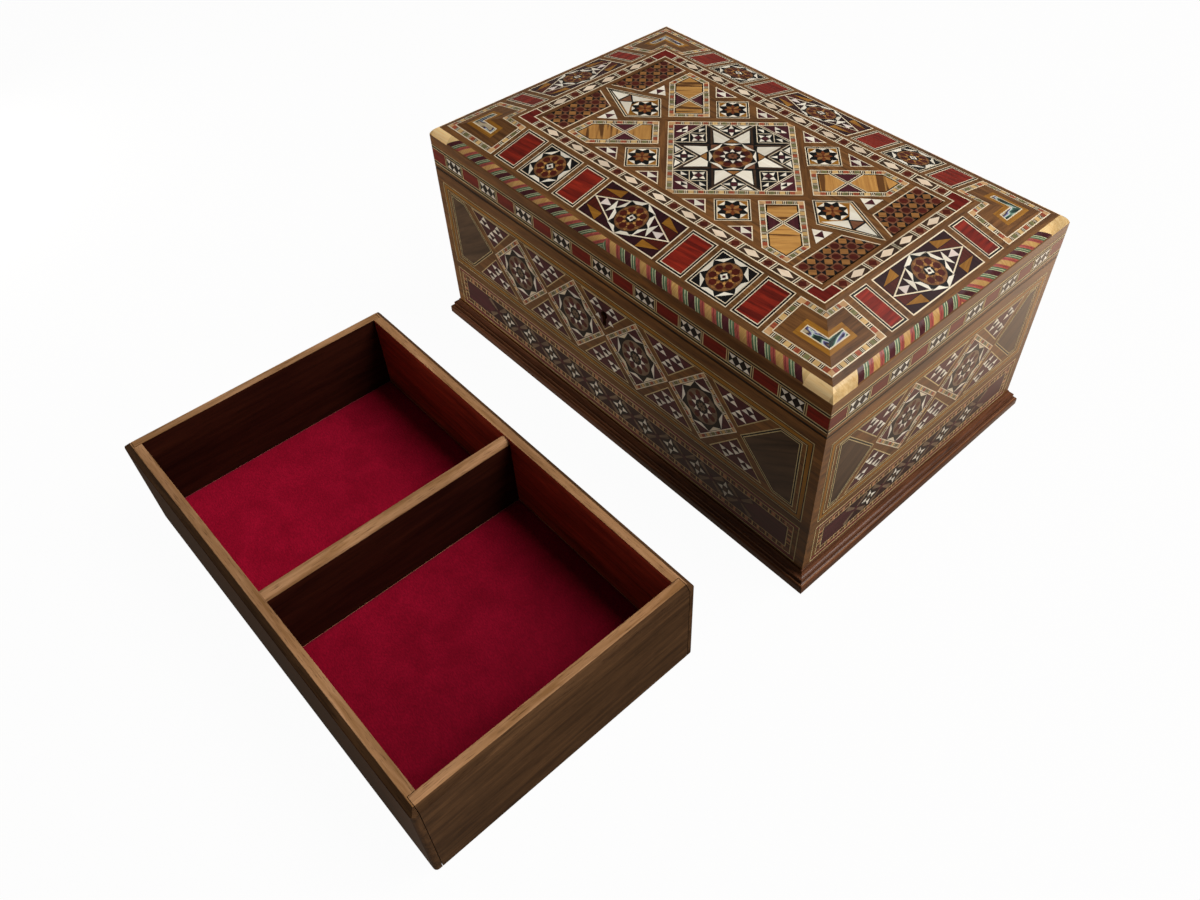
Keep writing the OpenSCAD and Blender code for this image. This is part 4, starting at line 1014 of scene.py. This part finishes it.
def body_side(half, keyhole):
    """Frame lines, diamonds from the middle out, triangles above and below, end panels and the low band."""
    count, stretch, *band = LAYOUT[half]
    outer = rect(-half + 5.5, 47.4, half - 5.5, 105.6)
    sheet = lay([], *((kind, 1, ring(outer, near, far), [0, 90, 0, 90]) for near, far, kind in FRAME_LINES))
    middles = (np.arange(count) - (count - 1) / 2) * DIAMOND_PITCH
    between = (np.arange(count + 1) - count / 2) * DIAMOND_PITCH
    tops = [u for u in between if not (keyhole and u == 0)]
    row = []
    place_at(row, side_diamond, [(u, ROW_Z) for u in middles])
    place_at(row, upper, [(u, ROW_Z, 0, 1) for u in tops] + [(u, ROW_Z, 180, 1) for u in between])
    lay(sheet, *((kind, level, shapes * [stretch, 1], grain) for kind, level, shapes, grain in row))
    if keyhole:
        place_at(sheet, keyed, (0, ROW_Z))
    start, end, tall = middles[-1] * stretch + 26.6, half - 12, 23.6
    right_panel = pts(start, 0, start + tall, tall, end, tall, end, -tall, start + tall, -tall)
    for panel in sides_of(right_panel, LEFT_RIGHT) + [0, ROW_Z]:
        lay(sheet,
            ("ivory_line", 2, ring(panel, 0, 0.4)), ("ivory_line", 2, ring(panel, 1.3, 1.7)),
            ("ebony", 1, ring(panel, 0.2, 1.6)), ("smoky_walnut", 1, inset(panel, 1.6), 35))
    low_band(sheet, half, *band)
    return sheet


for word, out, reach, half in SIDES:
    board = (out * reach, np.cross(Z, out), Z, out)
    make_inlay(f"{word}_inlay", "box", [(board, body_side(half, word == "front"))], board[1:3])

# %% [markdown]
# ## Striped edge band
#
# The rounded edge of the lid is veneered with slanted dyed strips that fan out from the middle of each
# side. A striped material could be slanted too, but every strip has fibres and a shade of its own, so each
# is a shell on the curve of that edge: its two edges run from the rim down, shifted along by the slant.

# %% Strips of one period
EDGE_R, EDGE_FLAT, EDGE_Z, BLOCK = 4.5, 3.0, 135.0, 17.0
STRIP_FOOT, BEND, NARROWEST = 0.14, 6, 0.3
SLANTS = ((5.5, 8.6), (9.0, 4.2), (7.0, 7.0), (7.0, 7.0))
CURVE_R = np.hypot(EDGE_R + EDGE_FLAT, EDGE_FLAT)
PINK = (("dyed_pink", 1.6), ("wine_strip", 0.4), ("dyed_pink", 1.1))
GREEN = (("pale_strip", 0.5), ("dyed_green", 1.2), ("pale_strip", 0.5), ("dyed_green", 1.25))
PERIOD = (("maroon_strip", 4.5), *GREEN, *PINK, ("tan_strip", 4.5), *PINK[::-1], *GREEN[::-1])
strip_block = np.arange(2 * (BEND + 1) * 2).reshape(2, BEND + 1, 2)
left, right = strip_block
strip_quads = np.concatenate([
    np.stack([left[:-1, 0], left[1:, 0], right[1:, 0], right[:-1, 0]], 1),
    np.stack([left[:-1, 1], left[1:, 1], left[1:, 0], left[:-1, 0]], 1),
    np.stack([right[:-1, 0], right[1:, 0], right[1:, 1], right[:-1, 1]], 1),
    [[left[0, 0], right[0, 0], right[0, 1], left[0, 1]],
     [left[-1, 1], right[-1, 1], right[-1, 0], left[-1, 0]]],
    np.stack([left[:-1, 1], right[:-1, 1], right[1:, 1], left[1:, 1]], 1)])
print("faces of a strip:", len(strip_quads))


# %% Edge strips
def edge_strips():
    """Vertices, faces, wood of each face, two maps and tints of all strips. A strip is a block (edge, turn,
    layer): u is the strip's edge, counted in from the corner block, plus the slant of that half times how far
    down, cut off at the middle and at the block, whose slanted end is the first strip. The turn goes up the
    curve, whose middle lies EDGE_FLAT in and below the band, from the share STRIP_FOOT of its height, so that
    a line of walnut shows under the strips."""
    kinds = np.array([KINDS.index(kind) for kind, _ in PERIOD])
    widths = np.array([width for _, width in PERIOD])
    foot = np.arcsin(EDGE_FLAT / CURVE_R)
    theta = foot + np.linspace(STRIP_FOOT, 1, BEND + 1) * (np.pi / 2 - 2 * foot)
    down = np.linspace(1, 0, BEND + 1)
    radius = np.array([CURVE_R - 0.25, CURVE_R + 0.05])
    height = EDGE_Z - EDGE_FLAT + radius * np.sin(theta)[:, None]
    found, rows, wood_of, grain_at, plan_at, tint = [], [], [], [], [], []
    count = 0
    for number, (_, out, reach, half) in enumerate(SIDES):
        end = half - BLOCK
        across = reach - EDGE_R - EDGE_FLAT + radius * np.cos(theta)[:, None]
        for sign, slant in zip((1, -1), SLANTS[number]):
            slant *= 1 - STRIP_FOOT
            repeat = int(np.ceil(end / widths.sum()))
            edges = end - np.cumsum(np.concatenate([[0, slant], np.tile(widths, repeat)]))
            kind = np.concatenate([[KINDS.index("boxwood")], np.tile(kinds, repeat)])
            u = np.clip(edges[:, None] + slant * down, 0, end)
            u = np.stack([u[1:], np.maximum(u[:-1], u[1:] + 0.02)], 1)
            kept = (u[:, 1] - u[:, 0]).max(1) > NARROWEST
            u, kind = u[kept], kind[kept]
            run = sign * (u if sign > 0 else u[:, ::-1])
            k = len(run)
            line = np.broadcast_to(run[..., None], (k, 2, BEND + 1, 2))
            spot = line[..., None] * np.cross(Z, out) + across[..., None] * out + height[..., None] * Z
            found.append(spot.reshape(-1, 3))
            arc_at = np.broadcast_to((theta[:, None] - foot) * CURVE_R, line.shape)
            jump = rng.uniform(0, GRAIN_JUMP, (k, 1, 1, 1))
            grain_at.append(np.stack([arc_at + jump, line + jump], -1).reshape(-1, 2))
            level = (number + 0.04 + 0.92 * arc_at / arc_at.max()) / 4
            plan_at.append(np.stack([0.5 + line / 2 / (end + 1), level], -1).reshape(-1, 2))
            tint.append(np.repeat(rng.uniform(0.88, 1.1, k), strip_block.size))
            first = count + np.arange(k)[:, None, None] * strip_block.size
            rows.append((first + strip_quads).reshape(-1, 4))
            wood_of.append(np.repeat(kind, len(strip_quads)))
            count += k * strip_block.size
    return [np.concatenate(part) for part in (found, rows, wood_of, grain_at, plan_at, tint)]


verts, faces, *dress = edge_strips()
strips = veneer("lid_edge_strips", "lid", POLISHED_WOOD, verts, faces.tolist(), *dress)
print("edge strips:", len(faces) // len(strip_quads))

# %% [markdown]
# ## Velvet
#
# Tray, floor and lid are lined with crimson cotton velvet glued to the boards. The pile stands about a
# millimetre high, lies over in soft patches where it was brushed, and is darker where one looks into it.
# In the tray the velvet is painted lighter towards its front left and darker further off, as painted light
# and shade.
# Hair could draw each tuft, but it isn't a mesh, so the pile is drawn by the cloth's material. Each lining is
# a closed sheet: a grid whose edge rolls down to the board and whose top wanders a little.


# %% Velvet cloth
def velvet(name, light_point=None):
    """Slow noise lays the pile over in patches, a fine one in rows draws the tufts and dents them. The last
    argument is a point in millimetres where light is painted: the value falls from 1.45 there to 0.68
    further off, as painted shade."""
    material, tree, out = blank(name)
    place = add(tree, "TexCoord").outputs["Object"]
    # Stroked patches are about 18 mm wide.
    stroke = add(tree, "TexNoise", {"Vector": place, "Scale": 55.0, "Detail": 4.0, "Roughness": 0.6,
                                    "Distortion": 0.4})
    patch = add(tree, "MapRange", {0: stroke.outputs[0], 1: 0.28, 2: 0.72}).outputs[0]
    shade = add(tree, "Mix", {0: patch, 6: srgb("#83051f"), 7: srgb("#9c0b2a")}, data_type="RGBA").outputs[2]
    # Painted light and shade: lighter near the point, darker further off, as if lit there and shaded by the
    # tray walls elsewhere.
    if light_point:
        point = [s * MM for s in light_point]
        off = add(tree, "VectorMath", {0: place, 1: point}, operation="DISTANCE").outputs["Value"]
        lift = add(tree, "MapRange", {0: off, 1: 0.03, 2: 0.19, 3: 1.45, 4: 0.68}).outputs[0]
        shade = add(tree, "HueSaturation", {"Color": shade, "Value": lift}).outputs[0]
    # Single tufts are 0.2 mm apart; they are drawn 0.6 mm apart, in rows, so that they show.
    rows_at = add(tree, "Mapping", {"Vector": place, "Scale": (700.0, 1700.0, 900.0)}).outputs[0]
    tuft = add(tree, "TexNoise", {"Vector": rows_at, "Scale": 1.0, "Detail": 2.0}).outputs[0]
    speck = add(tree, "MapRange", {0: tuft, 1: 0.35, 2: 0.7, 3: 0.35, 4: 0.0}).outputs[0]
    shade = add(tree, "Mix", {0: speck, 6: shade, 7: srgb("#3c0011")}, data_type="RGBA").outputs[2]
    dent = add(tree, "Bump", {"Strength": 0.5, "Distance": 0.0004, "Height": tuft}).outputs[0]
    cloth = add(tree, "BsdfPrincipled", {
        "Base Color": shade, "Roughness": 0.95, "IOR": 1.45, "Specular IOR Level": 0.1, "Sheen Weight": 0.25,
        "Sheen Roughness": 0.4, "Sheen Tint": srgb("#e0486c"), "Normal": dent})
    tree.links.new(cloth.outputs[0], out.inputs["Surface"])
    return material


LINING_VELVET = velvet("crimson_cotton_velvet")
# The tray's velvet has light painted round its front left and shade painted further off.
TRAY_VELVET = velvet("cotton_velvet_painted_light", (-70, -300, 11.5))
print("velvets:", LINING_VELVET.name, TRAY_VELVET.name)

# %% Velvet sheets
EDGE_SHARE, EDGE_ROLL, CALM_EDGE, PILE_DROP = 0.35, 1.6, 6.0, 0.1
CROWDING = 0.12


def velvet_sheet(name, node, body, cloth=LINING_VELVET, pile_up=1, step_mm=3.0):
    """A grid over the lining's box, a little closer at the edges: the pile face drops to EDGE_SHARE of the
    thickness within EDGE_ROLL of the edge and wanders by a sum of slow sines; the glued face is flat. The two
    grids are joined round the edge."""
    low, high = (np.array(corner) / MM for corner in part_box(node))
    size = high - low
    nx, ny = (int(np.ceil(side / step_mm)) + 1 for side in size[:2])
    even = [np.linspace(0, 1, n) for n in (nx, ny)]
    eased = [(0.5 - 0.5 * np.cos(np.pi * t)) * CROWDING + t * (1 - CROWDING) for t in even]
    x, y = np.meshgrid(*(side * t for side, t in zip(size, eased)), indexing="ij")
    edge = np.minimum(np.minimum(x, size[0] - x), np.minimum(y, size[1] - y))
    rise = EDGE_SHARE + (1 - EDGE_SHARE) * (1 - (1 - np.clip(edge / EDGE_ROLL, 0, 1)) ** 2)
    wander = 0.09 * np.sin(x / 9.0 + 1.3 * np.sin(y / 14.0)) + 0.07 * np.sin(y / 7.0 + x / 23.0)
    pile = size[2] * rise + wander * np.clip(edge / CALM_EDGE, 0, 1) - PILE_DROP
    board_z = low[2] if pile_up > 0 else high[2]
    grid = np.arange(nx * ny).reshape(nx, ny)
    top = np.stack([grid[:-1, :-1], grid[1:, :-1], grid[1:, 1:], grid[:-1, 1:]], -1).reshape(-1, 4)
    rim = np.concatenate([grid[:-1, 0], grid[-1, :-1], grid[:0:-1, -1], grid[0, :0:-1]])
    wall = np.stack([rim + grid.size, np.roll(rim, -1) + grid.size, np.roll(rim, -1), rim], -1)
    faces = np.concatenate([top, top[:, ::-1] + grid.size, wall])
    faces = faces if pile_up > 0 else faces[:, ::-1]
    verts = np.concatenate([np.stack([low[0] + x, low[1] + y, z], -1).reshape(-1, 3)
                            for z in (board_z + pile_up * pile, np.full_like(pile, board_z))])
    piece = put_mesh(name, verts * MM, faces.tolist(), [cloth], body, smooth=True)
    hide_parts(node)
    print(name, "cut", size[:2].round(1), "mm, faces", len(faces))


velvet_sheet("tray_left_velvet", "tray_left_lining", "tray", TRAY_VELVET, step_mm=1.8)
velvet_sheet("tray_right_velvet", "tray_right_lining", "tray", TRAY_VELVET, step_mm=1.8)
velvet_sheet("floor_velvet", "floor_lining", "box")
velvet_sheet("lid_velvet", "lid_lining", "lid", pile_up=-1)

# %% [markdown]
# ## Finishes of the solids
#
# The veneer grounds, plinth, carcass and tray are boards, so their fibres run along their length: along X
# for fronts and backs, along Y for the ends. A painted picture would have to be fitted to every board, so
# each wood is worked out from Object coordinates instead. Hinges and lock are brass, brushed by hand, so
# fine scratches spread the light along them.

# %% Brushed brass
brass, tree, out = blank("brushed_brass")
place = add(tree, "TexCoord").outputs["Object"]
# Scratches are drawn 7 mm long and 0.4 mm apart, coarser than real ones, so that they show.
brushed = add(tree, "Mapping", {"Vector": place, "Scale": (150, 2600, 2600)}).outputs[0]
scratch = add(tree, "TexNoise", {"Vector": brushed, "Scale": 1.0, "Detail": 3.0}).outputs[0]
# Tarnish lies in patches of 6 mm.
tarnish = add(tree, "TexNoise", {"Vector": place, "Scale": 160.0, "Detail": 3.0}).outputs[0]
shade = add(tree, "Mix", {0: tarnish, 6: srgb("#a8863f"), 7: srgb("#d9b864")}, data_type="RGBA").outputs[2]
gloss = add(tree, "MapRange", {0: scratch, 3: 0.22, 4: 0.42}).outputs[0]
dent = add(tree, "Bump", {"Strength": 0.15, "Distance": 0.00005, "Height": scratch}).outputs[0]
metal = add(tree, "BsdfPrincipled", {"Base Color": shade, "Metallic": 1.0, "Roughness": gloss,
                                     "Normal": dent})
tree.links.new(metal.outputs[0], out.inputs["Surface"])
print("made", brass.name)

# %% Board woods
BOARDS = {
    "marquetry": ("walnut_veneer", "#84592f", "#54361d", 3.0, 0.50, 0.34),
    "plinth_wood": ("lacquered_moulding", "#70432a", "#452818", 2.0, 0.45, 0.30),
    "striped_band": ("walnut_edge", "#84592f", "#54361d", 3.0, 0.50, 0.34),
    "pale_wood": ("boxwood_block", "#e6c68e", "#cea66a", 1.6, 0.15, 0.36),
    "tray_walnut": ("oiled_walnut", "#63462d", "#3e2a1a", 3.5, 0.50, 0.45),
    "carcass_wood": ("stained_walnut", "#5a3a22", "#3e2614", 3.0, 0.50, 0.50),
}
ACROSS = ("left", "right", "divider")
GLOSSY = ("lid_top", "slope", "_edge", "corner_blocks")
SHINES = {"marquetry": ("lacquered", LACQUERED), "plinth_wood": ("waxed", WAXED)}
# Painted light: the pale corner blocks are painted lighter where they face the front, for the light they
# catch there.
FRONT_BLOCKS_LIT = [((x, -93.2, 137), (9, 2.9, 8), "#ffe0a8", "#f6c884") for x in (-138.5, 138.5)]
# Painted highlights: three thin lighter lines round the plinth, where its moulding edges catch the light.
PLINTH_HIGHLIGHTS = [((0, 0, z), (200, 200, 0.04), "#9a6c4a", "#825638") for z in (11.5, 8.75, 6.25)]
# Boxes where light or shade is painted into these woods.
PAINTED_LIGHT_BOXES = {"pale_wood": FRONT_BLOCKS_LIT, "plinth_wood": PLINTH_HIGHLIGHTS}
# Painted light and shade on the tray: darker front face, lighter rim, redder back face inside, darker inside.
TRAY_FRONT_SHADE, TRAY_RIM_LIGHT = ("#442811", "#2c180a"), ("#c0926a", "#926942")
TRAY_BACK_BOUNCE, TRAY_INSIDE_SHADE = ("#c44c32", "#923424"), ("#3c1a10", "#2a100b")
ALL_ROUND = 200.0
board_wood = {}


def tray_painted_light(node):
    """The tray's walnut is painted with light and shade: darker on the outer face of the front wall and
    inside, as painted shade, redder and lighter on the inner face of the back wall, as painted light bounced
    off the velvet, and lighter on the rim and the round top of the divider, as painted light on the tops."""
    low = [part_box(name)[1][axis] / MM for name, axis in (("tray_left_wall", 0), ("tray_front_wall", 1))]
    high = [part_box(name)[0][axis] / MM for name, axis in (("tray_right_wall", 0), ("tray_back_wall", 1))]
    x, y = np.add(low, high) / 2
    half_x, half_y = np.subtract(high, low) / 2 + 0.05
    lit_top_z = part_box(node)[1][2] / MM - (3.2 if "divider" in node else 0.25)
    front_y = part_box("tray_front_wall")[0][1] / MM
    inside = TRAY_BACK_BOUNCE if "back" in node else TRAY_INSIDE_SHADE
    return [((x, front_y, 0), (ALL_ROUND, 0.2, 100.0), *TRAY_FRONT_SHADE),
            ((x, y, lit_top_z / 2), (half_x, half_y, lit_top_z / 2), *inside),
            ((x, y, lit_top_z + 5.15), (ALL_ROUND, ALL_ROUND, 5.0), *TRAY_RIM_LIGHT)]


def board_finish(node, slot):
    """The wood of a solid, made once for each slot, fibre axis and shine, and for each tray board."""
    axis = 1 if any(word in node for word in ACROSS) else 0
    finish, shine = SHINES.get(slot, ("satin", SATIN))
    if any(word in node for word in GLOSSY):
        finish, shine = "polished", POLISHED
    name, *looks = BOARDS[slot]
    key, painted_boxes = f"{name}_{'xy'[axis]}_{finish}", PAINTED_LIGHT_BOXES.get(slot, ())
    if slot == "tray_walnut":
        key, shine, painted_boxes = f"{name}_{node}", MATT, tray_painted_light(node)
    if key not in board_wood:
        board_wood[key] = wood(key, *looks, axis, shine, painted_boxes=painted_boxes)
    return board_wood[key]


# %% Dress the solids
slot_of = {row["node"]: row["material_slot"] for row in frame["record"]["subparts"]}
for node, piece in frame["nodes"].items():
    slot = slot_of[node]
    if slot == "velvet":
        continue
    piece.data.materials.clear()
    piece.data.materials.append(brass if slot == "brass" else board_finish(node, slot))
print("finished solids:", len(slot_of), "board woods:", len(board_wood))
